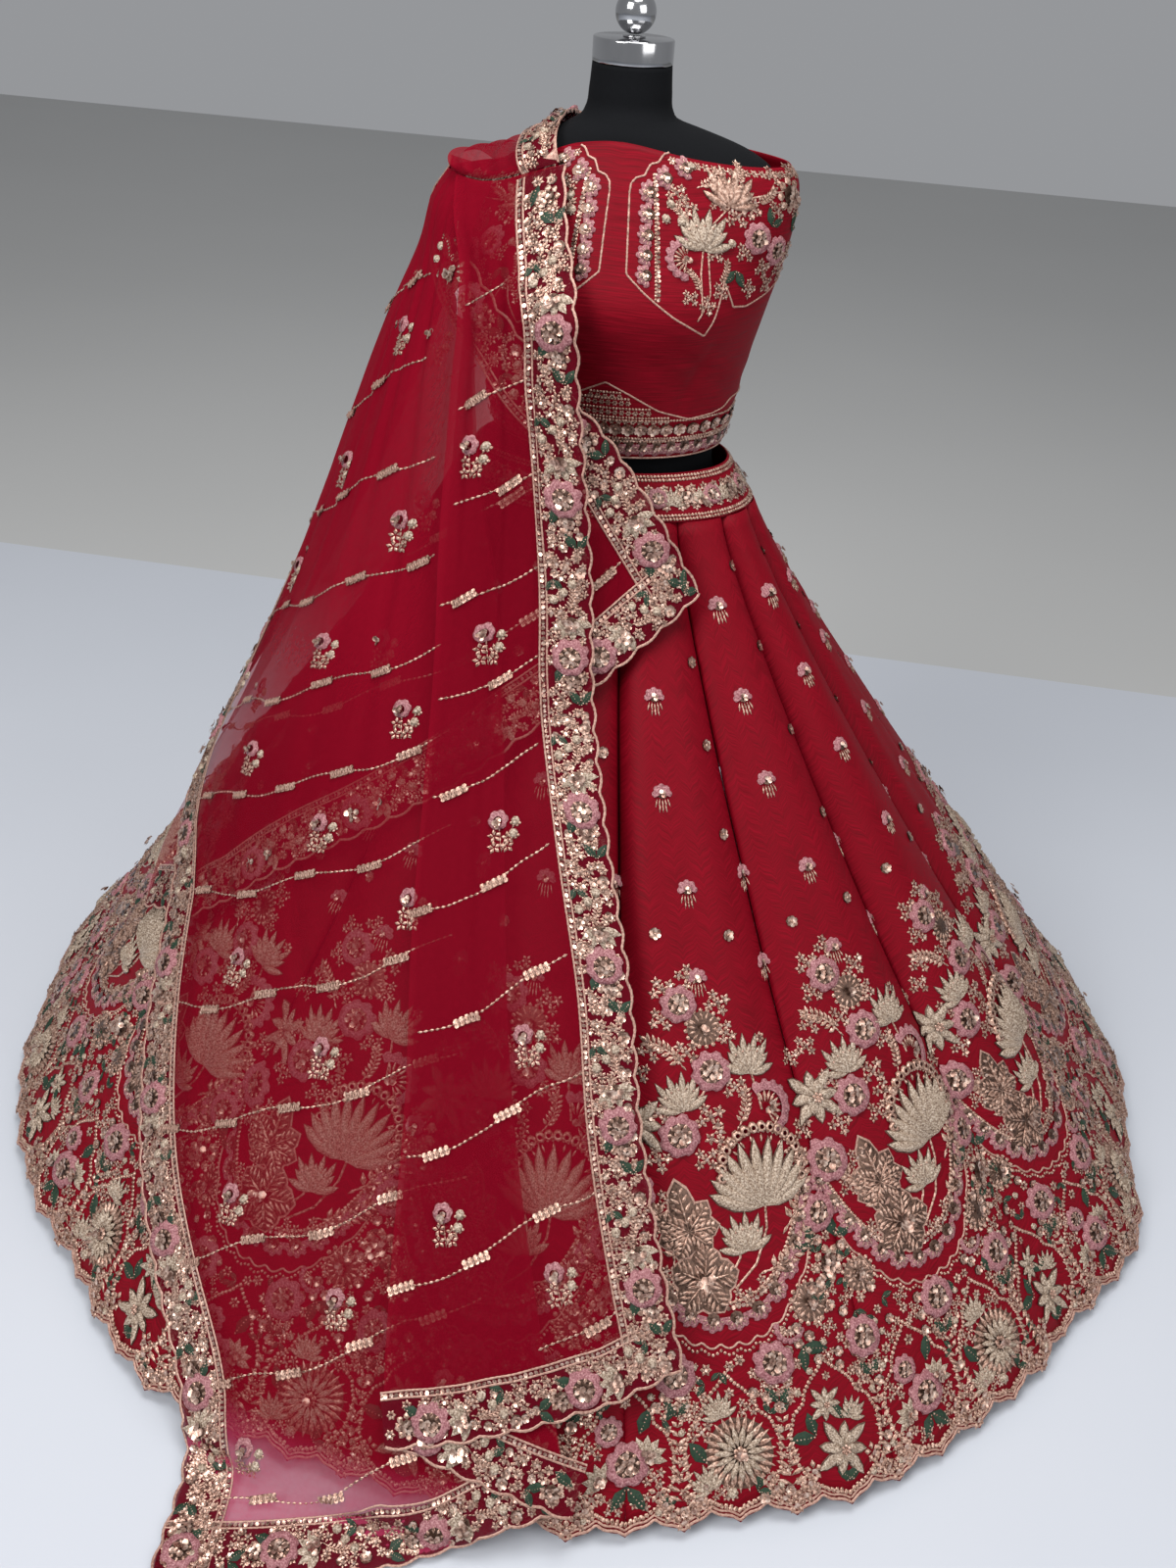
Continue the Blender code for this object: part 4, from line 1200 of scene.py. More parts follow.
def sheet_size(points: Array) -> tuple[float, float, float]:
    """Width, length and area that a grid of cloth was cut to."""
    across = np.linalg.norm(np.diff(points, axis=1), axis=2)
    along = np.linalg.norm(np.diff(points, axis=0), axis=2)
    width = float(across.sum(axis=1).max())
    length = float(along.sum(axis=0).max())
    first = points[1:, 1:] - points[:-1, :-1]
    second = points[1:, :-1] - points[:-1, 1:]
    area = float(0.5 * np.linalg.norm(np.cross(first, second), axis=2).sum())
    return width, length, area


def declare_sheet(piece: Piece, points: Array) -> None:
    """Works out what a sheet of cloth was cut to, and keeps none of it."""
    width, length, area = sheet_size(points)
    if area > 0.995 * width * length:
        length = 1.005 * area / width


def differences(form: Form, first: Array, second: Array, span: tuple[float, float]) -> tuple[Array, Array]:
    """Moves of a form's point over a step to both sides of each coordinate."""
    zero = np.zeros_like(first)
    return (form.points(first + span[0], second, zero) - form.points(first - span[0], second, zero),
            form.points(first, second + span[1], zero) - form.points(first, second - span[1], zero))


class Stitching:
    """Sews motifs, strings of beads and cords on a form, and joins them by thread."""

    def __init__(self, name: str, form: Form, kit: MotifKit, seed: int = 1) -> None:
        """Starts with nothing sewn."""
        self.name = name
        self.form = form
        self.kit = kit
        self.dice = np.random.default_rng(seed)
        self.points: dict[Thread, list[Array]] = {thread: [] for thread in Thread}
        self.faces: dict[Thread, list[Array]] = {thread: [] for thread in Thread}
        self.count: dict[Thread, int] = {thread: 0 for thread in Thread}

    def metric(self, first: Array, second: Array) -> tuple[Array, Array]:
        """Metres for a unit of each coordinate at a place."""
        span = getattr(self.form, "steps", MEASURE_SPAN)
        ahead, above = differences(self.form, first, second, span)
        return (np.linalg.norm(ahead, axis=-1) / (2.0 * span[0]),
                np.linalg.norm(above, axis=-1) / (2.0 * span[1]))

    def add(self, thread: Thread, points: Array, faces: Array) -> None:
        """Keeps points and triangles of one thread."""
        self.points[thread].append(points)
        self.faces[thread].append(faces + self.count[thread])
        self.count[thread] += len(points)

    def sew(self, motif: Motif, first: Array, second: Array, size: Array, turn: Array = 0.0,
            lift: float = 0.0006, threads: Optional[dict[Thread, Thread]] = None) -> None:
        """Sews copies of a motif.

        Args:
            motif: Which motif.
            first: First coordinate of each copy.
            second: Second coordinate of each copy.
            size: Metres across of each copy.
            turn: Turn of each copy to the right of straight up, in degrees.
            lift: Distance off the cloth.
            threads: Other threads to work it in.
        """
        first, second, size, turn = np.broadcast_arrays(
            np.atleast_1d(np.asarray(first, float)), np.asarray(second, float),
            np.asarray(size, float), np.asarray(turn, float))
        per_a, per_b = self.metric(first, second)
        cosine = np.cos(np.radians(turn)) * size
        sine = np.sin(np.radians(turn)) * size
        for thread, part in self.kit.worked[motif].items():
            thread = (threads or {}).get(thread, thread)
            x, y, z = part.points.T
            across = x[None, :] * cosine[:, None] + y[None, :] * sine[:, None]
            up = y[None, :] * cosine[:, None] - x[None, :] * sine[:, None]
            at = self.form.points(first[:, None] + across / per_a[:, None],
                                  second[:, None] + up / per_b[:, None],
                                  lift + z[None, :] * size[:, None])
            copies = np.arange(len(first))[:, None, None] * len(part.points)
            self.add(thread, at.reshape(-1, 3), (part.faces[None] + copies).reshape(-1, 3))

    def walk(self, first: Array, second: Array, spacing: float) -> tuple[Array, Array, Array]:
        """Places along a path at an even spacing, with the heading of each."""
        first, second = np.broadcast_arrays(np.asarray(first, float), np.asarray(second, float))
        fine = np.linspace(0.0, len(first) - 1.0, WALK_STOPS * len(first))
        row = np.arange(len(first))
        first = np.interp(fine, row, first)
        second = np.interp(fine, row, second)
        at = self.form.points(first, second, np.zeros_like(first))
        far = np.concatenate(([0.0], np.cumsum(np.linalg.norm(np.diff(at, axis=0), axis=1))))
        steps = max(int(round(far[-1] / spacing)), 1)
        stops = np.linspace(0.0, far[-1], steps + 1)
        first = np.interp(stops, far, first)
        second = np.interp(stops, far, second)
        per_a, per_b = self.metric(first, second)
        heading = np.degrees(np.arctan2(np.gradient(first) * per_a, np.gradient(second) * per_b))
        return first, second, heading

    def string(self, first: Array, second: Array, spacing: float, size: float,
               motif: Motif = Motif.BEAD, turn: float = 0.0, lift: float = 0.0004,
               scatter: float = 0.0) -> None:
        """Sews a row of one motif along a path."""
        first, second, heading = self.walk(first, second, spacing)
        turns = heading + turn
        if scatter:
            turns = turns + self.dice.uniform(-scatter, scatter, len(first))
        self.sew(motif, first, second, size, turns, lift)

    def cord(self, first: Array, second: Array, radius: float, thread: Thread = Thread.CORD,
             twist: float = 0.0040, lift: float = 0.0002) -> None:
        """Couches a twisted cord along a path."""
        first, second, heading = self.walk(first, second, 0.5 * twist)
        per_a, per_b = self.metric(first, second)
        angle = np.radians(heading)
        right_a = np.cos(angle) / per_a
        right_b = -np.sin(angle) / per_b
        thick = radius * np.where(np.arange(len(first)) % 2, 0.78, 1.0)
        rows = [self.form.points(first + right_a * part * thick, second + right_b * part * thick,
                                 lift + rise * thick)
                for part, rise in ((-1.0, 0.0), (0.0, 1.25), (1.0, 0.0))]
        points = np.stack(rows, axis=1).reshape(-1, 3)
        here = 3 * np.arange(len(first) - 1)[:, None]
        faces = np.concatenate([(here + a + (0, 1, 4, 0, 4, 3)).reshape(-1, 3) for a in (0, 1)])
        self.add(thread, points, faces)

    def finished(self) -> list[Piece]:
        """Joins what is sewn into one piece for each thread."""
        pieces = []
        for thread in Thread:
            if not self.points[thread]:
                continue
            name = f"{self.name}_{thread.name.lower()}"
            piece = mesh_object(name, np.concatenate(self.points[thread]), np.concatenate(self.faces[thread]))
            thread.value.on(piece)
            pieces.append(place_in(piece))
        return pieces


# The dress form


@dataclass
class DressForm:
    """The form's neck and shoulders, its chrome neck fittings and its stand."""

    cap_radius: float = 0.0418
    cap_bottom: float = 1.3262
    cap_height: float = 0.0233
    collar_radius: float = 0.0120
    collar_height: float = 0.0016
    ball_radius: float = 0.0208
    torso: Ovals = Ovals(
        height=(0.660, 0.672, 0.700, 0.760, 0.820, 0.880, 0.930, 0.980, 1.040, 1.105,
                1.150, 1.190, 1.222, 1.243, 1.256, 1.266, 1.274, 1.284, 1.302, 1.326),
        half_width=(0.110, 0.138, 0.152, 0.158, 0.150, 0.135, 0.123, 0.125, 0.140, 0.153,
                    0.161, 0.166, 0.162, 0.148, 0.120, 0.085, 0.055, 0.0455, 0.0430, 0.0412),
        front=(0.076, 0.092, 0.100, 0.102, 0.098, 0.091, 0.086, 0.089, 0.103, 0.120,
               0.109, 0.094, 0.081, 0.073, 0.067, 0.062, 0.055, 0.0460, 0.0430, 0.0412),
        back=(0.082, 0.098, 0.108, 0.112, 0.104, 0.090, 0.077, 0.079, 0.088, 0.094,
              0.092, 0.085, 0.075, 0.068, 0.062, 0.056, 0.050, 0.0455, 0.0430, 0.0412),
    )
    seam_turn: float = 5.0
    foot_z: float = 0.660
    chest_z: float = 1.20
    neck_top: float = 1.3259
    columns: int = 97
    low_rows: int = 30
    high_rows: int = 36

    def build(self) -> None:
        """Dresses the form and its stand."""
        self.cover()
        self.neck_fittings()
        for node in ("stand_pole", "stand_base"):
            STAND.on(bpy.data.objects[node])

    def cover(self) -> None:
        """Jersey cover over the torso and neck, with its centre and side seams."""
        turns = np.linspace(-180.0, 180.0, self.columns)
        heights = np.unique(np.concatenate((
            np.linspace(self.foot_z, self.chest_z, self.low_rows),
            np.linspace(self.chest_z, self.neck_top, self.high_rows))))
        turn, height = np.meshgrid(turns, heights)
        seams = sum(bell(turn - at, 1.6) for at in (self.seam_turn, self.seam_turn - 180.0, 95.0, -95.0))
        seams = seams * eased(height, 1.275, 1.262) + 0.9 * bell(height - 1.2735, 0.0016)
        points = placed(turn, self.torso.radius(turn, height) - 0.0011 * seams, height)
        cover = cloth_sheet("form_cover", points, 0.0)
        low = len(turns)
        cap = np.arange(low - 1)
        ahead = (cap + 1) % (low - 1)
        middle = np.full(low - 1, low - 1)
        bottom = mesh_object("form_underside", np.concatenate((points[0, :-1], [[0.0, 0.0, self.foot_z]])),
                             np.stack((ahead, cap, middle), axis=-1))
        top = mesh_object("form_neck_top", np.concatenate((points[-1, :-1], [[0.0, 0.0, self.neck_top]])),
                          np.stack((cap, ahead, middle), axis=-1))
        for piece in (cover, bottom, top):
            JERSEY.on(piece)
        bpy.ops.object.select_all(action="DESELECT")
        for piece in (bottom, top, cover):
            piece.select_set(True)
            bpy.context.view_layer.objects.active = piece
        bpy.ops.object.join()
        bpy.ops.object.mode_set(mode="EDIT")
        bpy.ops.mesh.select_all(action="SELECT")
        bpy.ops.mesh.remove_doubles(threshold=0.00002)
        bpy.ops.object.mode_set(mode="OBJECT")
        place_in(cover, "form_torso")

    def turned(self, name: str, radius: float, bottom: float, height: float, edge: float,
               groove: float) -> Piece:
        """Turned metal piece with rounded edges and a groove near its foot."""
        bpy.ops.object.select_all(action="DESELECT")
        bpy.ops.mesh.primitive_cylinder_add(vertices=96, radius=radius, depth=height,
                                            location=(0.0, 0.0, bottom + 0.5 * height))
        piece = bpy.context.active_object
        piece.name = name
        bpy.ops.object.transform_apply(location=True, rotation=True, scale=True)
        bpy.ops.object.mode_set(mode="EDIT")
        bpy.ops.mesh.select_all(action="SELECT")
        bpy.ops.mesh.bisect(plane_co=(0.0, 0.0, bottom + groove), plane_no=(0.0, 0.0, 1.0))
        bpy.ops.mesh.bevel(offset=0.0012, segments=1, affect="EDGES")
        bpy.ops.object.mode_set(mode="OBJECT")
        for vert in piece.data.vertices:
            if abs(vert.co.z - bottom - groove) < 0.0004:
                vert.co.xy *= 1.0 - 0.0009 / radius
        bevel = piece.modifiers.new("edges", "BEVEL")
        bevel.width = edge
        bevel.segments = 3
        bevel.limit_method = "ANGLE"
        bevel.angle_limit = math.radians(50.0)
        bpy.ops.object.modifier_apply(modifier="edges")
        bpy.ops.object.shade_smooth_by_angle(angle=math.radians(35.0))
        return piece

    def neck_fittings(self) -> None:
        """Neck cap, collar and ball."""
        cap = self.turned("neck_cap", self.cap_radius, self.cap_bottom, self.cap_height, 0.0018, 0.006)
        collar_bottom = self.cap_bottom + self.cap_height + 0.0003
        collar = self.turned("ball_collar", self.collar_radius, collar_bottom, self.collar_height,
                             0.0008, 0.0024)
        centre = collar_bottom + self.collar_height + 0.0003 + self.ball_radius
        bpy.ops.object.select_all(action="DESELECT")
        bpy.ops.mesh.primitive_uv_sphere_add(segments=64, ring_count=40, radius=self.ball_radius,
                                             location=(0.0, 0.0, centre))
        ball = bpy.context.active_object
        ball.name = "neck_ball"
        bpy.ops.object.transform_apply(location=True, rotation=True, scale=True)
        foot = centre - self.ball_radius
        for vert in ball.data.vertices:
            vert.co.z = max(vert.co.z, foot + 0.0009)
        bpy.ops.object.shade_smooth_by_angle(angle=math.radians(35.0))
        for piece, node in ((cap, "form_neck_cap"), (collar, "form_finial_collar"),
                            (ball, "form_finial_ball")):
            place_in(CHROME.on(piece), node)


# The garment


@dataclass
class Choli:
    """The off-shoulder choli: a front and a back shell, an embroidered yoke and belt."""

    kit: MotifKit
    form: CholiForm = CholiForm()
    wall: float = 0.0013
    reach: float = 89.85
    columns: int = 97
    rows: int = 62
    outline: tuple[tuple[float, float], ...] = (
        (37, 1.2560), (34, 1.2545), (31.5, 1.2500), (30, 1.2470), (25, 1.2450), (22.5, 1.2395),
        (21, 1.2350), (15.5, 1.2325), (12.2, 1.2270), (11.5, 1.2200), (11.6, 1.1470), (20, 1.1300),
        (31.4, 1.1090), (45.7, 1.0880), (49.5, 1.1150), (52.9, 1.1420), (55, 1.1280), (57.1, 1.1160),
        (64, 1.1140), (76, 1.1210), (87, 1.1300))
    flowers: tuple[tuple[float, float], ...] = (
        (41.5, 1.2440), (30.5, 1.2345), (20.6, 1.2210), (19.8, 1.2020), (19.2, 1.1835),
        (18.6, 1.1655), (18.2, 1.1475))
    yoke: Sewing = (
        (Motif.LOTUS, 46, 1.188, 0.050, 8), (Motif.HALF_ROSE, 33, 1.166, 0.044, -78),
        (Motif.GOLD_ROSE, 81, 1.219, 0.036, 0), (Motif.ROSE, 67, 1.181, 0.034, 0),
        (Motif.ROSE, 76, 1.166, 0.032, 0), (Motif.LEAF_PAIR, 73, 1.191, 0.022, 30),
        (Motif.LEAF_PAIR, 58, 1.152, 0.024, 190), (Motif.LEAF_PAIR, 84, 1.185, 0.020, 60),
        (Motif.SPRIG, 52, 1.236, 0.034, 50), (Motif.SPRIG, 71, 1.222, 0.034, 60),
        (Motif.SPRIG, 37, 1.200, 0.032, -40), (Motif.SPRIG, 52, 1.150, 0.030, 20),
        (Motif.SPRIG, 40, 1.142, 0.028, -30), (Motif.SPRIG, 64, 1.240, 0.030, 10),
        (Motif.CLUSTER, 60, 1.202, 0.026, 0), (Motif.CLUSTER, 66, 1.209, 0.022, 60),
        (Motif.CLUSTER, 37, 1.222, 0.022, 0), (Motif.CLUSTER, 41, 1.211, 0.022, 40),
        (Motif.CLUSTER, 51, 1.133, 0.020, 0), (Motif.CLUSTER, 38, 1.128, 0.018, 0),
        (Motif.CLUSTER, 45, 1.120, 0.020, 30), (Motif.CLUSTER, 50, 1.168, 0.020, 0),
        (Motif.CLUSTER, 62, 1.168, 0.022, 0), (Motif.CLUSTER, 70, 1.150, 0.022, 20),
        (Motif.CLUSTER, 80, 1.148, 0.024, 0), (Motif.CLUSTER, 86, 1.160, 0.024, 0),
        (Motif.CLUSTER, 64, 1.132, 0.020, 40), (Motif.CLUSTER, 74, 1.132, 0.020, 0),
        (Motif.CLUSTER, 84, 1.138, 0.020, 0), (Motif.CLUSTER, 86, 1.203, 0.022, 0),
        (Motif.CLUSTER, 75, 1.206, 0.022, 0), (Motif.CLUSTER, 85, 1.240, 0.024, 0),
        (Motif.CLUSTER, 76, 1.238, 0.022, 30), (Motif.CLUSTER, 54, 1.214, 0.018, 0),
        (Motif.BUD, 34, 1.212, 0.010, 0), (Motif.BUD, 31, 1.199, 0.010, 0), (Motif.BUD, 38, 1.197, 0.010, 0),
        (Motif.BUD, 47, 1.246, 0.009, 0), (Motif.BUD, 57, 1.178, 0.009, 0))

    def build(self) -> None:
        """Builds the shells and works the embroidery."""
        for side, middle in (("front", 0.0), ("back", 180.0)):
            turn, up = np.meshgrid(np.linspace(middle - self.reach, middle + self.reach, self.columns),
                                   np.linspace(0.0, 1.0, self.rows))
            height = self.form.bottom_z + (self.form.top(turn) - self.form.bottom_z) * up
            points = self.form.points(turn, height, 0.0)
            piece = SILK.on(cloth_sheet(f"choli_{side}_cloth", points, self.wall))
            place_in(piece, f"choli_{side}")
            declare_sheet(piece, points)
        work = Stitching("choli_work", self.form, self.kit, seed=11)
        for side in (1.0, -1.0):
            self.work_yoke(work, side)
        self.work_belt(work)
        work.finished()

    def across(self, turn: Array, side: float) -> Array:
        """Turn on the left or right of the choli's middle."""
        middle = self.form.front_turn
        return middle + side * (np.asarray(turn, float) - middle)

    def belt_top(self, turn: Array) -> Array:
        """Height of the belt's peaked outline."""
        away = np.abs((np.asarray(turn, float) - self.form.front_turn + 180.0) % 360.0 - 180.0)
        return np.interp(away, (0, 13, 30, 47, 61, 75, 86, 180),
                         (1.031, 1.018, 0.999, 0.988, 0.990, 1.001, 1.005, 1.005))

    def work_yoke(self, work: Stitching, side: float) -> None:
        """Outline, flower column and floral panel on one side of the front."""
        turn, height = np.array(self.outline).T
        work.cord(self.across(turn, side), height, 0.0011)
        turn, height = np.array(self.flowers).T
        work.sew(Motif.SHELL, self.across(turn, side), height, 0.0182, -90.0 * side)
        work.sew(Motif.BEAD, self.across(turn, side), height, 0.0050, 0.0, lift=0.0030)
        column = np.linspace(1.236, 1.126, 30)
        work.string(self.across(np.interp(column, (1.126, 1.236), (24.4, 26.6)), side), column,
                    0.0036, 0.0036, scatter=40.0)
        work.string(self.across(np.interp(column, (1.126, 1.236), (25.4, 27.6)), side), column,
                    0.0046, 0.0044, Motif.SEQUIN, scatter=180.0)
        for motif, at, up, size, lean in self.yoke:
            work.sew(motif, self.across([at], side), [up], size, lean * side)
        work.sew(Motif.LOTUS, self.across([59.5], side), [1.226], 0.048, 14.0 * side,
                 threads={Thread.CREAM: Thread.BEAD})
        for stem in (((46, 1.176), (43.5, 1.150), (42.5, 1.112)), ((59, 1.212), (51, 1.195), (50, 1.180)),
                     ((47.5, 1.172), (46.5, 1.130), (41, 1.105)), ((66, 1.218), (60, 1.216), (84, 1.226))):
            turn, height = np.array(stem).T
            work.cord(self.across(turn, side), height, 0.0009, Thread.BEAD, twist=0.0034)
        edge = np.linspace(38.0, 88.0, 60)
        work.string(self.across(edge, side), self.form.top(edge) - 0.006, 0.0085, 0.0095, Motif.FLORET)

    def work_belt(self, work: Stitching) -> None:
        """Rows of beads, rosettes and shells round the choli's foot."""
        ring = np.linspace(-180.0, 180.0, 361)
        work.cord(ring, self.belt_top(ring), 0.0011)
        for height, reach in ((1.0195, 8.0), (1.0125, 13.0), (1.0010, 25.0), (0.9905, 36.0)):
            turn = self.form.front_turn + np.linspace(-reach, reach, 40)
            work.string(turn, height, 0.0036, 0.0034)
            work.string(turn, height - 0.0052, 0.0075, 0.0072, Motif.FLORET)
        for height, size in ((0.9870, 0.0034), (0.9660, 0.0036), (0.9622, 0.0036)):
            shut = ring[self.belt_top(ring) > height]
            work.string(shut, height, 0.0036, size, scatter=30.0)
        work.string(ring, 0.9641, 0.0052, 0.0046, Motif.SEQUIN, scatter=180.0)
        rosettes = np.arange(50) * 7.2 + self.form.front_turn
        work.sew(Motif.BLOSSOM, rosettes, 0.9765, 0.0155)
        work.sew(Motif.BEAD, rosettes + 3.6, 0.9765, 0.0034)
        shells = np.arange(45) * 8.0 + self.form.front_turn
        work.sew(Motif.SHELL, shells, 0.9515, 0.0195, 180.0)
        work.cord(ring, 0.9432, 0.0012)


@dataclass
class Lehenga:
    """The lehenga: waistband, sixteen kalis and the embroidery of the hem."""

    kit: MotifKit
    form: SkirtForm = SkirtForm()
    waist: WaistForm = WaistForm()
    wall: float = 0.0016
    columns: int = 41
    rows: int = 54
    waist_columns: int = 193
    waist_rows: int = 14
    waist_flowers: int = 52
    arch_middle: float = 22.75
    arch_low: float = 0.172
    arch_rise: float = 0.130
    cartouches: int = 40
    arch_work: Sewing = (
        (Motif.ROSE, -2.1, 0.534, 0.044, 0), (Motif.WHEEL, 1.0, 0.506, 0.046, 0),
        (Motif.CLUSTER, -4.2, 0.550, 0.030, 0), (Motif.CLUSTER, -0.6, 0.562, 0.028, 40),
        (Motif.CLUSTER, 3.2, 0.532, 0.030, 10), (Motif.CLUSTER, 3.8, 0.500, 0.026, 70),
        (Motif.CLUSTER, -4.6, 0.518, 0.028, 0), (Motif.CLUSTER, -6.2, 0.486, 0.028, 20),
        (Motif.SPRIG, -4.6, 0.478, 0.060, -55), (Motif.ROSE, 1.3, 0.460, 0.048, 0),
        (Motif.CLUSTER, -1.6, 0.482, 0.030, 0), (Motif.LOTUS, -2.9, 0.438, 0.050, -8),
        (Motif.LOTUS, 6.4, 0.470, 0.052, 6), (Motif.CLUSTER, 4.0, 0.440, 0.028, 0),
        (Motif.SPRIG, 4.2, 0.418, 0.050, 10), (Motif.HALF_ROSE, 9.4, 0.418, 0.064, 64),
        (Motif.ROSE, -3.2, 0.396, 0.050, 0), (Motif.CLUSTER, 0.6, 0.412, 0.034, 0),
        (Motif.CLUSTER, 1.4, 0.386, 0.032, 50), (Motif.CLUSTER, -5.6, 0.420, 0.030, 0),
        (Motif.CLUSTER, -5.8, 0.372, 0.030, 30), (Motif.CLUSTER, -0.4, 0.368, 0.028, 0),
        (Motif.STAR_LOTUS, -8.1, 0.406, 0.074, 0), (Motif.CLUSTER, -7.6, 0.462, 0.026, 0),
        (Motif.CLUSTER, -9.8, 0.452, 0.024, 20), (Motif.GREAT_LOTUS, 5.8, 0.352, 0.108, 10),
        (Motif.LOTUS, 2.6, 0.286, 0.050, -6), (Motif.RIBBED_LEAF, -3.2, 0.306, 0.086, -6),
        (Motif.PALM_FLOWER, -1.8, 0.244, 0.082, 12), (Motif.SPRIG, 8.5, 0.318, 0.088, 22),
        (Motif.SPRIG, 6.6, 0.266, 0.080, 48), (Motif.SPRIG, -5.9, 0.290, 0.074, -28),
        (Motif.CLUSTER, 4.4, 0.232, 0.028, 0), (Motif.CLUSTER, 1.8, 0.222, 0.026, 0),
        (Motif.CLUSTER, -5.4, 0.250, 0.028, 30), (Motif.CLUSTER, -5.0, 0.330, 0.026, 0),
        (Motif.CLUSTER, 9.9, 0.352, 0.028, 0), (Motif.ROSE, -8.6, 0.338, 0.054, 0),
        (Motif.CLUSTER, -10.6, 0.376, 0.030, 0), (Motif.CLUSTER, -6.9, 0.304, 0.026, 0),
        (Motif.FLORET, 11.2, 0.352, 0.018, 0), (Motif.FLORET, 8.6, 0.486, 0.014, 0),
        (Motif.ROSE, 11.25, 0.290, 0.046, 0), (Motif.WHEEL, 8.2, 0.206, 0.052, 0),
        (Motif.WHEEL, -8.4, 0.214, 0.046, 20), (Motif.GOLD_ROSE, 11.1, 0.236, 0.042, 0),
        (Motif.LEAF_PAIR, 9.8, 0.262, 0.032, -40), (Motif.LEAF_PAIR, -9.9, 0.258, 0.032, 30),
        (Motif.HALF_ROSE, 5.4, 0.176, 0.036, 200), (Motif.LEAF_PAIR, 6.6, 0.164, 0.034, 150))
    cartouche_edge: tuple[tuple[float, float], ...] = (
        (0.0, 0.012), (1.5, 0.019), (3.0, 0.032), (3.9, 0.052), (4.05, 0.078), (3.5, 0.098),
        (2.5, 0.108), (2.3, 0.118), (1.5, 0.130), (0.7, 0.138), (0.0, 0.148))
    rose_work: Sewing = (
        (Motif.ROSE, 0.2, 0.070, 0.050, 0), (Motif.ROSE, -1.3, 0.103, 0.034, 0),
        (Motif.BELL, 2.2, 0.083, 0.032, 40), (Motif.BELL, -2.4, 0.060, 0.030, -50),
        (Motif.LEAF_PAIR, 0.1, 0.048, 0.036, 180), (Motif.LEAF, 1.2, 0.098, 0.030, 20),
        (Motif.CLUSTER, 2.3, 0.056, 0.026, 0), (Motif.CLUSTER, -2.7, 0.086, 0.026, 0),
        (Motif.CLUSTER, 1.2, 0.034, 0.024, 0), (Motif.CLUSTER, -0.9, 0.030, 0.022, 0),
        (Motif.FLORET, 0.1, 0.128, 0.014, 0), (Motif.FLORET, -1.9, 0.040, 0.013, 0))
    sunflower_work: Sewing = (
        (Motif.SUNFLOWER, 0.5, 0.068, 0.086, 0), (Motif.LOTUS, -2.5, 0.046, 0.034, -20),
        (Motif.LOTUS, -1.0, 0.116, 0.034, -8), (Motif.LEAF, -2.2, 0.062, 0.032, -30),
        (Motif.CLUSTER, -2.6, 0.094, 0.028, 0), (Motif.CLUSTER, 1.6, 0.112, 0.024, 0),
        (Motif.LEAF_PAIR, 1.6, 0.028, 0.024, 60), (Motif.BUD, -0.4, 0.030, 0.014, 0),
        (Motif.CLUSTER, -1.3, 0.032, 0.022, 0), (Motif.FLORET, 0.2, 0.128, 0.013, 0))
    lotus_work: Sewing = (
        (Motif.STAR_LOTUS, 0.2, 0.056, 0.070, 10), (Motif.STAR_LOTUS, -0.6, 0.103, 0.044, 0),
        (Motif.LOTUS, 1.8, 0.090, 0.028, 24), (Motif.LEAF_PAIR, -1.9, 0.074, 0.034, -52),
        (Motif.LEAF_PAIR, 0.7, 0.084, 0.026, 10), (Motif.LEAF, -0.2, 0.024, 0.024, 60),
        (Motif.LEAF, 0.6, 0.024, 0.022, -60), (Motif.FLORET, 0.0, 0.130, 0.011, 0))

    def build(self) -> None:
        """Builds the cloth and works the embroidery."""
        self.build_waistband()
        self.build_kalis()
        middles = self.arch_middle + self.form.kali_turn * np.arange(self.form.kalis)
        for part, rows in (("upper", self.arch_work[:27]), ("lower", self.arch_work[27:])):
            work = Stitching(f"skirt_{part}", self.form, self.kit, seed=3)
            for motif, away, up, size, turn in rows:
                work.sew(motif, middles + away, up, size, turn + work.dice.uniform(-8, 8, len(middles)))
            if part == "upper":
                self.work_buttis(work)
                self.work_stems(work, middles)
            else:
                self.work_arches(work, middles)
            work.finished()
        hem = Stitching("skirt_hem", self.form, self.kit, seed=5)
        self.work_cartouches(hem)
        self.work_hem(hem)
        hem.finished()
        ground = Stitching("skirt_ground", self.form, self.kit, seed=8)
        self.work_ground(ground)
        ground.finished()

    def build_waistband(self) -> None:
        """Waistband, its bead edges and its row of flowers."""
        turn, height = np.meshgrid(np.linspace(-180.0, 180.0, self.waist_columns),
                                   np.linspace(self.waist.foot_z, self.waist.top_z, self.waist_rows))
        points = self.waist.points(turn, height, 0.0)
        points[:, -1] = points[:, 0]
        piece = SILK.on(cloth_sheet("waistband_cloth", points, self.wall))
        place_in(piece, "lehenga_waistband")
        declare_sheet(piece, points)
        work = Stitching("waistband_work", self.waist, self.kit, seed=21)
        ring = np.linspace(-180.0, 180.0, 241)
        for height in (0.9270, 0.9235, 0.8890, 0.8855):
            work.string(ring, height, 0.0040, 0.0040, scatter=30.0)
        flowers = np.arange(self.waist_flowers) * 360.0 / self.waist_flowers
        kinds = (Motif.ROSE, Motif.LOTUS, Motif.GOLD_ROSE, Motif.BELL)
        for place, motif in enumerate(kinds):
            at = flowers[place::4]
            work.sew(motif, at, 0.9065, 0.0250, work.dice.uniform(-15, 15, len(at)))
        for up in (0.9145, 0.8975):
            work.sew(Motif.FLORET, flowers + 3.4, up, 0.0115)
        work.finished()

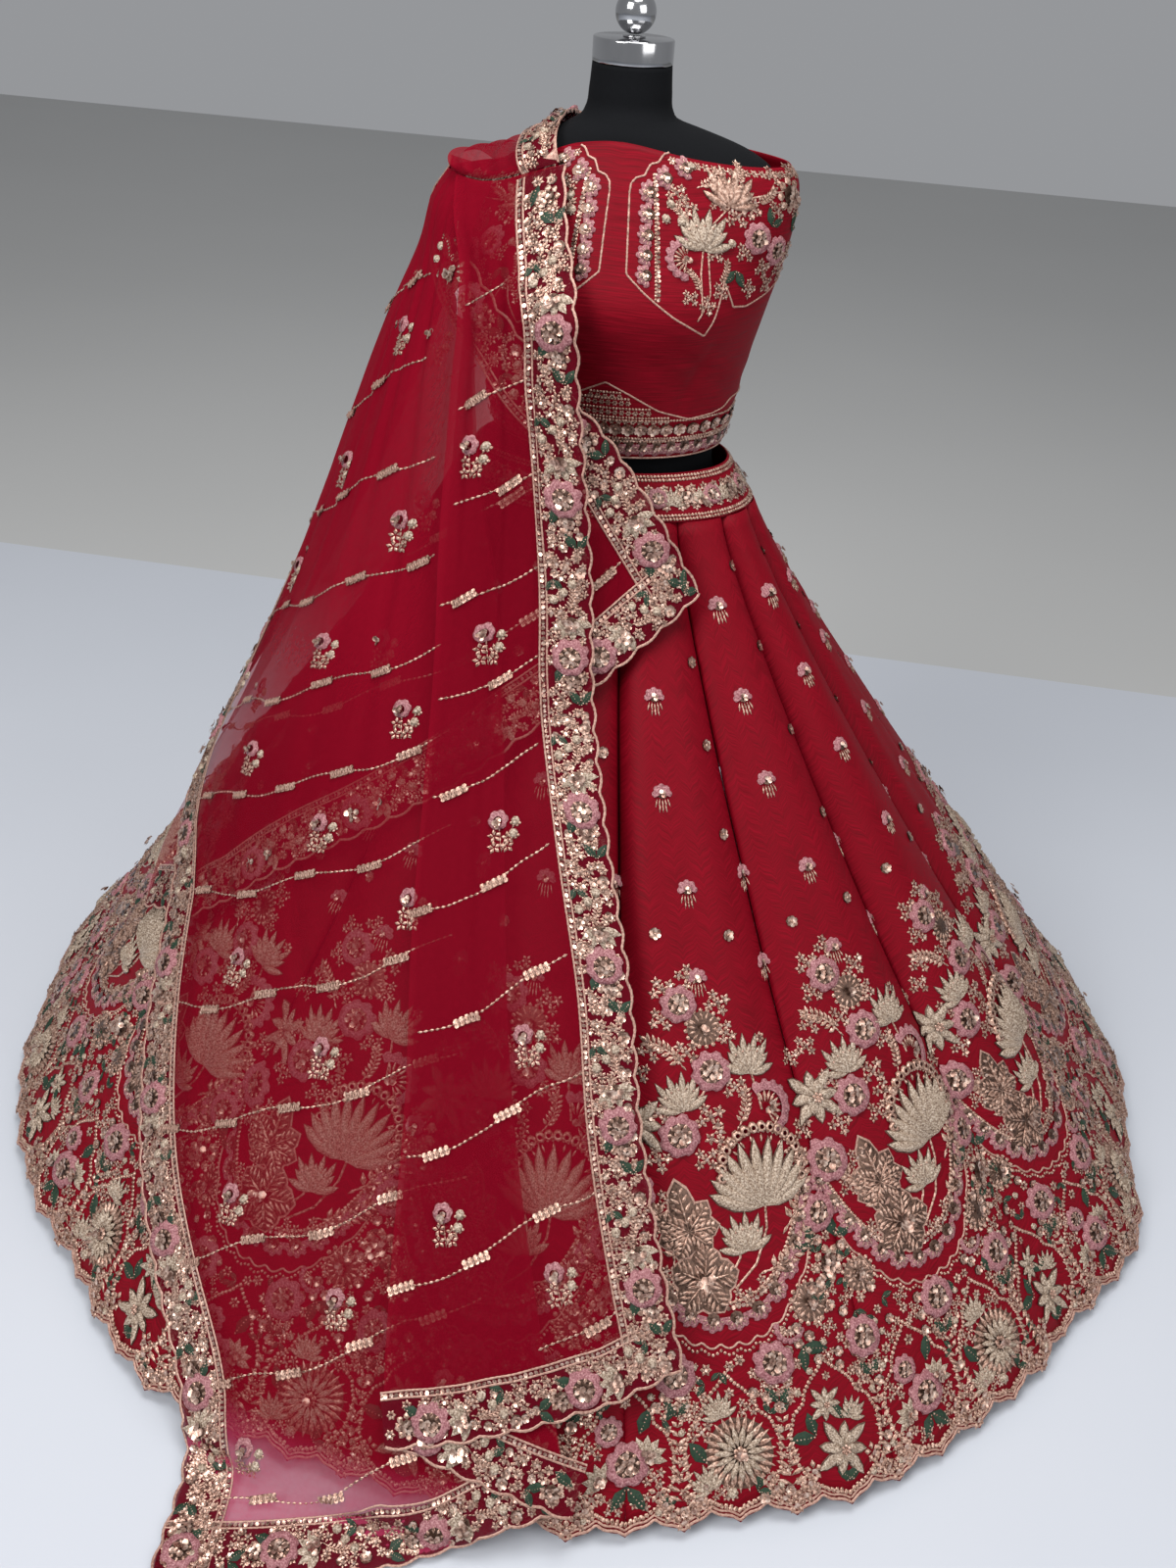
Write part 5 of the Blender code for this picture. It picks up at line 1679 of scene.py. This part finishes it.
    def build_kalis(self) -> None:
        """The sixteen kalis."""
        for number in range(self.form.kalis):
            first = self.form.first_seam + self.form.kali_turn * number
            turn = np.linspace(first + 0.012, first + self.form.kali_turn - 0.012, self.columns)
            turn, share = np.meshgrid(turn, np.linspace(0.0, 1.0, self.rows) ** 0.9)
            low = self.form.hem_up(turn)
            points = self.form.points(turn, low + (self.form.length - low) * share, 0.0)
            piece = SILK.on(cloth_sheet(f"kali_{number + 1:02d}_cloth", points, self.wall))
            place_in(piece, f"lehenga_kali_{number + 1:02d}")
            declare_sheet(piece, points)

    def arch(self, away: Array) -> Array:
        """Metres up from the hem of an arch's scalloped foot."""
        half = 0.5 * self.form.kali_turn
        return self.arch_low + self.arch_rise * np.abs(away / half) ** 2.3

    def work_arches(self, work: Stitching, middles: Array) -> None:
        """Beads, shells and the scalloped cord of each arch."""
        away = np.linspace(-10.9, 10.9, 45)
        fine = np.linspace(-11.1, 11.1, 150)
        for middle in middles:
            up = self.arch(away)
            work.string(middle + away * 0.93, up + 0.046, 0.0050, 0.0052, scatter=60.0)
            work.string(middle + away * 0.94, up + 0.041, 0.0058, 0.0056, Motif.SEQUIN, scatter=180.0)
            work.string(middle + away * 0.97, up + 0.024, 0.0285, 0.0240, Motif.SHELL, turn=90.0)
            scallop = 0.0055 * np.abs(np.sin(np.pi * (fine + 11.1) / 22.2 * 13.0))
            work.cord(middle + fine, self.arch(fine) + 0.006 - scallop, 0.0013, twist=0.006)
            work.string(middle + fine, self.arch(fine) - 0.0005 - scallop, 0.0052, 0.0040)

    def work_stems(self, work: Stitching, middles: Array) -> None:
        """Cord stems between the flowers of each arch."""
        stems = (((5.6, 0.330), (5.2, 0.290), (3.6, 0.255), (1.2, 0.232)),
                 ((2.4, 0.282), (2.0, 0.262), (0.8, 0.245)),
                 ((6.4, 0.452), (6.8, 0.430), (7.0, 0.412)), ((9.0, 0.400), (8.2, 0.392)),
                 ((-2.6, 0.420), (0.0, 0.436), (1.0, 0.450)), ((-2.0, 0.520), (-0.4, 0.512)))
        for middle in middles:
            for stem in stems:
                turn, up = np.array(stem).T
                work.cord(middle + turn, up, 0.0015, Thread.BEAD, twist=0.006)

    def work_buttis(self, work: Stitching) -> None:
        """Small florets and fringed flowers over the plain silk, in half-drop rows."""
        for row, drop in enumerate(np.arange(0.055, 0.50, 0.0475)):
            radius = float(self.form.section(drop)[2])
            count = self.form.kalis * max(1, round(2.0 * math.pi * radius / (self.form.kalis * 0.098)))
            turn = (np.arange(count) + 0.5 * (row % 2) + 0.25) * 360.0 / count + 4.0
            up = (1.0 - drop) * self.form.length + work.dice.uniform(-0.006, 0.006, count)
            if row % 2:
                work.sew(Motif.FRINGED, turn, up, 0.034)
            else:
                work.sew(Motif.BLOSSOM, turn, up, 0.0145, work.dice.uniform(0, 60, count))

    def work_cartouches(self, work: Stitching) -> None:
        """Beaded cartouches along the hem, each over a hem point."""
        step = 360.0 / self.cartouches
        centres = self.form.first_seam + step * np.arange(self.cartouches)
        away, up = np.array(self.cartouche_edge).T
        for centre in centres:
            for side in (-1.0, 1.0):
                work.string(centre + side * away, up, 0.0050, 0.0052, scatter=60.0)
        for kind, rows in enumerate((self.rose_work, self.sunflower_work, self.lotus_work)):
            at = centres[kind::3]
            for motif, away, up, size, turn in rows:
                work.sew(motif, at + away, up, size, turn + work.dice.uniform(-8, 8, len(at)))
        between = centres + 0.5 * step
        work.sew(Motif.FILLER, between, 0.060, 0.094)
        work.sew(Motif.ROSE, between, 0.153, 0.050)
        work.sew(Motif.LEAF_PAIR, between, 0.112, 0.026, 0.0)
        for side in (-1.0, 1.0):
            work.sew(Motif.CLUSTER, between + 0.9 * side, 0.122, 0.026, 40.0 * side)
            work.sew(Motif.FLORET, between + 1.7 * side, 0.024, 0.014)
            work.sew(Motif.CLUSTER, between + 0.9 * side, 0.018, 0.020)

    def work_hem(self, work: Stitching) -> None:
        """Twisted cords and beads that follow the pointed hem."""
        for lift, radius in ((0.0020, 0.0017), (0.0062, 0.0014)):
            for first in range(0, 360, 45):
                turn = np.linspace(first, first + 45.0, 321)
                work.cord(turn, self.form.hem_up(turn) + lift, radius, twist=0.0062)
        for first in range(0, 360, 45):
            turn = np.linspace(first, first + 45.0, 161)
            work.string(turn, self.form.hem_up(turn) + 0.0115, 0.0058, 0.0050)

    def ground_points(self, dice: np.random.Generator) -> tuple[Array, Array]:
        """Even scatter between the arches and the cartouches over an eighth of the hem."""
        away, up = np.array(self.cartouche_edge).T
        half = 180.0 / self.cartouches
        kept: list[tuple[float, float]] = []
        for _ in range(5200):
            turn = float(dice.uniform(0.0, 45.0))
            level = float(dice.uniform(0.018, 0.300))
            arch_away = (self.form.first_seam + turn - self.arch_middle + 11.25) % 22.5 - 11.25
            cartouche_away = (turn + half) % (2.0 * half) - half
            inside = abs(cartouche_away) < np.interp(level, up, away) + 0.35 and level < 0.156
            if level > float(self.arch(arch_away)) - 0.012 or inside:
                continue
            near = 0.0118 if level > 0.05 else 0.0104
            scale = math.radians(0.77)
            if all(math.hypot((turn - a) * scale, level - b) > near for a, b in kept):
                kept.append((turn, level))
        return np.array(kept).T

    def work_ground(self, work: Stitching) -> None:
        """Florets, buds and leaves that fill the ground under the arches."""
        turn, up = self.ground_points(work.dice)
        kinds = (Motif.FLORET, Motif.BLOSSOM, Motif.FLORET, Motif.CLUSTER, Motif.FLORET, Motif.LEAF_PAIR,
                 Motif.BLOSSOM, Motif.BUD)
        sizes = (0.0135, 0.0125, 0.0120, 0.0200, 0.0140, 0.0170, 0.0135, 0.0090)
        eighth = 45.0 * np.arange(8)[:, None]
        for place, (motif, size) in enumerate(zip(kinds, sizes)):
            at = (self.form.first_seam + turn[place::8] + eighth).ravel()
            level = np.broadcast_to(up[place::8], (8, len(up[place::8]))).ravel()
            work.sew(motif, at, level, size, work.dice.uniform(0, 360, len(at)))


@dataclass(frozen=True)
class EdgeBand:
    """A band along a net edge: metres along it and metres inwards from it."""

    net: Form
    along: Array
    first: Array
    second: Array
    in_first: Array
    in_second: Array
    steps: tuple[float, float] = (0.002, 0.002)

    def points(self, first: Array, second: Array, lift: Array) -> Array:
        """Points of the band: metres along, metres inwards and distance off the net."""
        first, second = np.broadcast_arrays(first, second)
        at = np.interp(first, self.along, self.first) + second * np.interp(first, self.along, self.in_first)
        up = np.interp(first, self.along, self.second) + second * np.interp(first, self.along, self.in_second)
        return self.net.points(at, up, lift)


def smoothed(values: Array, width: int, **ends: str) -> Array:
    """Running mean of a row of values, carried on past its ends."""
    return np.convolve(np.pad(values, width // 2, **ends), np.ones(width) / width, mode="valid")


def edge_band(net: Form, first: Array, second: Array, span: tuple[float, float]) -> EdgeBand:
    """Measures a band along an edge of net.

    Args:
        net: Form of the net.
        first: First coordinate along the edge, with the cloth on its left.
        second: Second coordinate along the edge.
        span: Step of each coordinate for measuring.

    Returns:
        The band.
    """
    fine = np.linspace(0.0, len(first) - 1.0, EDGE_STOPS)
    row = np.arange(len(first))
    first = np.interp(fine, row, first)
    second = np.interp(fine, row, second)
    first = smoothed(first, EDGE_SMOOTHING, mode="reflect", reflect_type="odd")
    second = smoothed(second, EDGE_SMOOTHING, mode="reflect", reflect_type="odd")
    zero = np.zeros_like(first)
    at = net.points(first, second, zero)
    along = np.concatenate(([0.0], np.cumsum(np.linalg.norm(np.diff(at, axis=0), axis=1))))
    per_first, per_second = differences(net, first, second, span)
    per_first /= 2 * span[0]
    per_second /= 2 * span[1]
    normal = np.cross(per_first, per_second)
    normal /= np.linalg.norm(normal, axis=1, keepdims=True)
    outward = np.sign(np.sum(normal * (net.points(first, second, zero + 0.001) - at), axis=1, keepdims=True))
    normal *= outward
    ahead = np.gradient(at, along, axis=0)
    ahead /= np.linalg.norm(ahead, axis=1, keepdims=True)
    inward = np.cross(normal, ahead)
    system = np.stack((per_first, per_second), axis=-1)
    pair = np.stack([np.linalg.lstsq(system[k], inward[k], rcond=None)[0] for k in range(len(fine))])
    pair = np.stack([smoothed(pair[:, k], BAND_SMOOTHING, mode="edge") for k in (0, 1)], axis=1)
    far = net.points(first + BAND_REACH * pair[:, 0], second + BAND_REACH * pair[:, 1], zero)
    pair *= BAND_REACH / np.linalg.norm(far - at, axis=1, keepdims=True)
    return EdgeBand(net, along, first, second, pair[:, 0], pair[:, 1])


UNDER_END = NetForm(
    "under_end", 0.004, 0.0018,
    Edge((0.826, 0.891, 0.956, 1.020, 1.045, 1.093, 1.170, 1.240),
         (39.4, 29.3, 15.8, -2.7, -13.4, -29.7, -56.0, -76.0)),
    Edge((0.315, 0.360, 0.450, 0.600, 0.800, 1.000, 1.240),
         (-66.0, -78.0, -90.0, -97.0, -103.0, -107.0, -108.0)),
    (0.00, 0.11, 0.22, 0.33, 0.45, 0.57, 0.70, 0.78, 1.00),
    (0.826, 0.784, 0.737, 0.685, 0.608, 0.525, 0.420, 0.372, 0.315), folds=0.0006)
LEFT_FALL = NetForm(
    "left_fall", 0.013, 0.0041,
    Edge((0.065, 0.150, 0.350, 0.600, 0.850, 1.000, 1.240), (10.5, 8.5, 3.0, -5.5, -20.0, -34.0, -62.0)),
    Edge((-0.114, 0.000, 0.067, 0.121, 0.177, 0.254, 0.347, 0.386, 0.430, 0.500, 0.700, 1.000, 1.240),
         (-16.3, -19.5, -22.7, -29.1, -36.2, -45.0, -55.8, -60.5, -72.0, -86.0, -98.0, -105.0, -106.0)),
    (0.00, 0.18, 0.42, 0.66, 1.00), (0.065, 0.041, -0.015, -0.053, -0.114), folds=0.0016, fold_count=9.0)
TURNED_UNDER = NetForm(
    "turned_under", 0.020, 0.0064,
    Edge((0.065, 0.150, 0.350, 0.600, 0.850, 1.000, 1.240), (10.7, 8.7, 3.2, -5.2, -19.6, -33.5, -61.0)),
    Edge((0.095, 0.138, 0.222, 0.381, 0.615, 0.831, 1.019, 1.197, 1.240),
         (-3.6, -4.7, -6.4, -10.0, -20.2, -28.9, -41.0, -61.5, -75.0)),
    (0.00, 0.50, 1.00), (0.062, 0.082, 0.097), folds=0.0006, fold_count=2.0)
FRONT_FALL = NetForm(
    "front_fall", 0.027, 0.0087,
    Edge((0.181, 0.271, 0.377, 0.491, 0.616, 0.747, 0.845, 0.946, 1.042, 1.132, 1.190, 1.240),
         (19.5, 18.0, 16.5, 15.6, 12.2, 8.1, 6.1, 2.2, -2.5, -7.3, -18.0, -29.0)),
    Edge((0.095, 0.138, 0.222, 0.381, 0.615, 0.831, 1.019, 1.197, 1.240),
         (-4.0, -5.1, -6.8, -10.4, -20.6, -29.3, -41.5, -62.5, -76.0)),
    (0.00, 0.19, 0.40, 0.72, 1.00), (0.179, 0.158, 0.140, 0.115, 0.095), folds=0.0018, fold_count=4.0)


@dataclass
class Dupatta:
    """The net dupatta: its hanging stretches, shoulder pleats, borders and vines."""

    kit: MotifKit
    columns: int = 60
    rows: int = 88
    pleat_columns: int = 73
    pleat_rows: int = 41
    scallop: float = 0.034
    scallop_depth: float = 0.0042
    border: float = 0.052
    shoulder_border: float = 0.044
    repeat: float = 0.168
    pleats: PleatForm = PleatForm(UNDER_END)
    border_work: Sewing = (
        (Motif.LEAF_PAIR, 0.000, 0.013, 0.024, 90), (Motif.CLUSTER, 0.010, 0.034, 0.026, 0),
        (Motif.GOLD_ROSE, 0.027, 0.020, 0.028, 0), (Motif.LEAF, 0.024, 0.040, 0.024, 60),
        (Motif.ROSE, 0.052, 0.023, 0.043, 0), (Motif.FLORET, 0.048, 0.044, 0.012, 0),
        (Motif.BELL, 0.082, 0.021, 0.034, -80), (Motif.CLUSTER, 0.070, 0.042, 0.022, 0),
        (Motif.CLUSTER, 0.094, 0.036, 0.026, 40), (Motif.FLORET, 0.101, 0.014, 0.013, 0),
        (Motif.SPRIG, 0.114, 0.026, 0.036, 90), (Motif.BUD, 0.112, 0.041, 0.0115, 0),
        (Motif.BUD, 0.121, 0.030, 0.0115, 0), (Motif.BUD, 0.131, 0.020, 0.0115, 0),
        (Motif.CLUSTER, 0.126, 0.010, 0.022, 0), (Motif.LEAF_PAIR, 0.134, 0.042, 0.018, -80),
        (Motif.CLUSTER, 0.146, 0.028, 0.028, 20), (Motif.CLUSTER, 0.154, 0.042, 0.020, 0),
        (Motif.BLOSSOM, 0.143, 0.010, 0.014, 0), (Motif.FLORET, 0.160, 0.014, 0.012, 0))

    def build(self) -> None:
        """Builds the net and its embroidery."""
        for net, node in ((UNDER_END, "dupatta_under_end"), (LEFT_FALL, "dupatta_left_fall"),
                          (TURNED_UNDER, "dupatta_turned_under"), (FRONT_FALL, "dupatta_front_fall")):
            across, share = np.meshgrid(np.linspace(1.0, 0.0, self.columns), np.linspace(0.0, 1.0, self.rows))
            height = net.low(across) + (net.top_z - net.low(across)) * share
            self.finish_net(f"{node}_net", node, net.points(net.between(across, height), height, 0.0))
        across, along = np.meshgrid(np.linspace(1.0, 0.0, self.pleat_columns),
                                    np.linspace(0.0, 1.0, self.pleat_rows))
        self.finish_net("dupatta_pleats_net", "dupatta_shoulder_pleats",
                        self.pleats.points(across, along, 0.0))
        self.work_borders()
        for net, first, last in ((LEFT_FALL, 0.16, 1.22), (FRONT_FALL, 0.26, 1.20), (UNDER_END, 0.90, 1.20)):
            self.work_vines(net, first, last)

    def finish_net(self, name: str, node: str, points: Array) -> None:
        """Makes one stretch of net and puts it in place of its solid."""
        piece = NET.on(cloth_sheet(name, points, 0.0))
        place_in(piece, node)
        declare_sheet(piece, points)

    def edges(self) -> Iterable[tuple[str, EdgeBand]]:
        """Bands along the dupatta's edges, each with the cloth on its left."""
        share = np.linspace(1.0, 0.0, 41)
        up = np.linspace(0.0, 1.0, 61)

        def lower(net: NetForm) -> EdgeBand:
            """Lower edge from left to right."""
            height = net.low(share)
            return edge_band(net, net.between(share, height), height, MEASURE_SPAN)

        def side(net: NetForm, edge: Edge, low: float, high: float, upward: bool) -> EdgeBand:
            """A side edge, up on the right and down on the left."""
            height = low + (high - low) * (up if upward else up[::-1])
            return edge_band(net, edge.at(height), height, MEASURE_SPAN)

        yield "front_hem", lower(FRONT_FALL)
        yield "front_side", side(FRONT_FALL, FRONT_FALL.right, 0.179, 1.240, True)
        yield "floor_hem", lower(LEFT_FALL)
        yield "left_side", side(LEFT_FALL, LEFT_FALL.left, -0.114, 1.235, False)
        yield "turned_hem", lower(TURNED_UNDER)
        yield "under_side", side(UNDER_END, UNDER_END.right, 0.826, 1.20, True)
        yield "under_hem", lower(UNDER_END)
        along = np.linspace(0.0, 1.0, 41)
        yield "shoulder", edge_band(self.pleats, np.zeros(41), along, (0.01, 0.01))

    def work_borders(self) -> None:
        """Scalloped border ground, flowers, braid and edge cord along each edge."""
        for number, (name, band) in enumerate(self.edges()):
            long = float(band.along[-1])
            count = max(int(long / 0.004), 8)
            at, share = np.meshgrid(np.linspace(0.0, long, count), np.linspace(0.0, 1.0, 9))
            outer = -self.scallop_depth * np.abs(np.sin(np.pi * at / self.scallop))
            wide = self.shoulder_border if name == "shoulder" else self.border
            points = band.points(at, outer + (wide - outer) * share, 0.0008)
            piece = BORDER_GROUND.on(cloth_sheet(f"border_{name}", points, 0.0))
            place_in(piece)
            work = Stitching(f"border_{name}_work", band, self.kit, seed=40 + number)
            path = np.linspace(0.0, long, max(int(long / 0.008), 8))
            fine = np.linspace(0.0, long, max(int(long / 0.003), 8))
            scallop = -self.scallop_depth * np.abs(np.sin(np.pi * fine / self.scallop))
            work.cord(fine, scallop + 0.0010, 0.0016, twist=0.0062, lift=0.001)
            for inwards in (wide - 0.0045, wide + 0.0025):
                work.cord(path, inwards, 0.0012, twist=0.0060, lift=0.001)
            work.string(path, wide - 0.0010, 0.0056, 0.0050, Motif.SEQUIN, lift=0.001, scatter=180.0)
            for motif, start, inwards, size, turn in self.border_work:
                first = (0.037 * number) % self.repeat + start - self.repeat
                at = np.arange(first, long - 0.012, self.repeat)
                at = at[at > 0.012]
                if len(at):
                    turns = 180.0 - turn + work.dice.uniform(-10, 10, len(at))
                    work.sew(motif, at, (inwards - 0.001) * wide / self.border, size, turns, lift=0.0016)
            self.fill_border(work, long, wide)
            pieces = work.finished()
            width, length, area = sheet_size(points)
            max(length, 1.01 * area / width)

    def fill_border(self, work: Stitching, long: float, wide: float) -> None:
        """Small florets and beads between the border's flowers."""
        kept: list[tuple[float, float]] = []
        for _ in range(int(long * 2600)):
            at = float(work.dice.uniform(0.006, long - 0.006))
            inwards = float(work.dice.uniform(0.006, wide - 0.008))
            if all(math.hypot(at - a, inwards - b) > 0.0125 for a, b in kept[-160:]):
                kept.append((at, inwards))
        spots = np.array(kept)
        for place, (motif, size) in enumerate(((Motif.FLORET, 0.0110), (Motif.BLOSSOM, 0.0100),
                                               (Motif.FLORET, 0.0120))):
            at, inwards = spots[place::3].T
            work.sew(motif, at, inwards, size, work.dice.uniform(0, 360, len(at)), lift=0.0012)

    def fall(self, height: float) -> float:
        """Mean slope of the vines at a height."""
        return float(np.interp(height, (0.0, 0.4, 0.8, 1.2), (0.56, 0.62, 0.74, 1.00)))

    def vine(self, net: NetForm, start: float) -> tuple[Array, Array]:
        """Path of a vine from the right border down to the left."""
        height = start
        turn = float(net.right.at(start))
        path = []
        away = 0.0
        while True:
            radius = float(net.radius(np.array(turn), np.array(max(height, net.hem_z))))
            share = (turn - float(net.right.at(height))) / min(
                float(net.left.at(height)) - float(net.right.at(height)), -0.5)
            if share > 0.97 or height < float(net.low(np.clip(share, 0, 1))) + 0.055 or away > 1.1:
                return tuple(np.array(path).T) if len(path) > 4 else (np.zeros(0), np.zeros(0))
            if away > 0.050:
                path.append((turn, height))
            slope = -self.fall(height) + 0.26 * math.cos(2.0 * math.pi * away / 0.170 + 9.0 * start)
            run = 0.010 / math.hypot(1.0, slope)
            turn -= math.degrees(run / radius)
            height += slope * run
            away += 0.010

    def work_vines(self, net: NetForm, first: float, last: float) -> None:
        """Beaded vines with clusters, and small sprigs between them."""
        work = Stitching(f"vines_{net.name}", net, self.kit, seed=60)
        for number, start in enumerate(np.arange(first, last, 0.092)):
            turn, height = self.vine(net, float(start))
            if not len(turn):
                continue
            work.string(turn, height, 0.0066, 0.0066, Motif.BUGLE, lift=0.0008)
            lean = math.degrees(math.atan(self.fall(start)))
            spots = slice(2 + 3 * number % 8, None, 8)
            work.sew(Motif.LADDER, turn[spots], height[spots], 0.028, 90.0 - lean, lift=0.0008)
            mid = slice(6 + 11 * (number % 2), None, 23)
            inside = height[mid] < 1.10
            work.sew(Motif.POSY, turn[mid][inside], height[mid][inside] + 0.046, 0.050, -20.0, lift=0.0008)
        work.finished()


# The studio


@dataclass
class Studio:
    """Pale floor, soft lights and the camera."""

    place: Triple = (0.22732, -1.64659, 1.52963)
    pitch: float = 0.57893
    roll: float = 0.07064
    yaw: float = -0.13318
    lens: float = 33.75
    sensor: float = 36.0
    reach: float = 7.0
    pale_to: float = 1.35
    air: tuple[float, float, float, float] = (0.84, 0.86, 0.90, 1.0)
    air_light: float = 0.36
    lights: tuple[tuple[str, Triple, float, float, Triple], ...] = (
        ("key", (-1.7, -2.9, 3.3), 1.8, 112.0, (0.0, 0.0, 0.6)),
        ("fill", (2.8, -2.2, 2.4), 2.4, 42.0, (0.1, 0.0, 0.6)),
        ("top", (0.3, -0.5, 3.6), 1.4, 62.0, (0.0, 0.0, 0.4)))

    def build(self) -> None:
        """Builds the studio."""
        self.build_floor()
        for lamp in self.lights:
            self.light(*lamp)
        world = bpy.data.worlds.new("studio_air")
        world.use_nodes = True
        sky = world.node_tree.nodes["Background"]
        sky.inputs["Color"].default_value = self.air
        sky.inputs["Strength"].default_value = self.air_light
        bpy.context.scene.world = world
        bpy.context.scene.view_settings.view_transform = "Standard"
        self.build_camera()

    def build_floor(self) -> None:
        """Pale floor, and a greyer one that goes on behind the garment."""
        wide = self.reach
        for name, front, back, finish in (("studio_floor", -wide, self.pale_to, FLOOR),
                                          ("studio_far_floor", self.pale_to, wide, FAR_FLOOR)):
            corners = ((-wide, front, 0), (wide, front, 0), (wide, back, 0), (-wide, back, 0))
            piece = mesh_object(name, np.array(corners, float), np.array(((0, 1, 2, 3),)))
            finish.on(piece)

    def light(self, name: str, at: Triple, size: float, power: float, towards: Triple) -> None:
        """Soft square light that faces a point."""
        data = bpy.data.lights.new(name, "AREA")
        data.size = size
        data.energy = power
        lamp = bpy.data.objects.new(name, data)
        lamp.location = at
        lamp.rotation_euler = (Vector(towards) - Vector(at)).to_track_quat("-Z", "Y").to_euler()
        bpy.context.scene.collection.objects.link(lamp)

    def build_camera(self) -> None:
        """Camera at the picture's viewpoint."""
        data = bpy.data.cameras.new("camera")
        data.sensor_fit = "VERTICAL"
        data.sensor_height = self.sensor
        data.lens = self.lens
        data.clip_start = 0.05
        camera = bpy.data.objects.new("camera", data)
        level = math.cos(self.pitch)
        ahead = Vector((math.sin(self.yaw) * level, math.cos(self.yaw) * level, -math.sin(self.pitch)))
        side = Vector((math.cos(self.yaw), -math.sin(self.yaw), 0.0))
        up = side.cross(ahead)
        right = math.cos(self.roll) * side + math.sin(self.roll) * up
        top = math.cos(self.roll) * up - math.sin(self.roll) * side
        camera.matrix_world = Matrix((
            (right.x, top.x, -ahead.x, self.place[0]), (right.y, top.y, -ahead.y, self.place[1]),
            (right.z, top.z, -ahead.z, self.place[2]), (0.0, 0.0, 0.0, 1.0)))
        bpy.context.scene.collection.objects.link(camera)
        bpy.context.scene.camera = camera


def main() -> None:
    """Builds the dress form, the choli, the lehenga and the dupatta, then the studio."""
    logging.basicConfig(level=logging.INFO, format="%(message)s")
    kit = MotifKit()
    DressForm().build()
    Choli(kit).build()
    Lehenga(kit).build()
    Dupatta(kit).build()
    Studio().build()


if __name__ == "__main__":
    main()
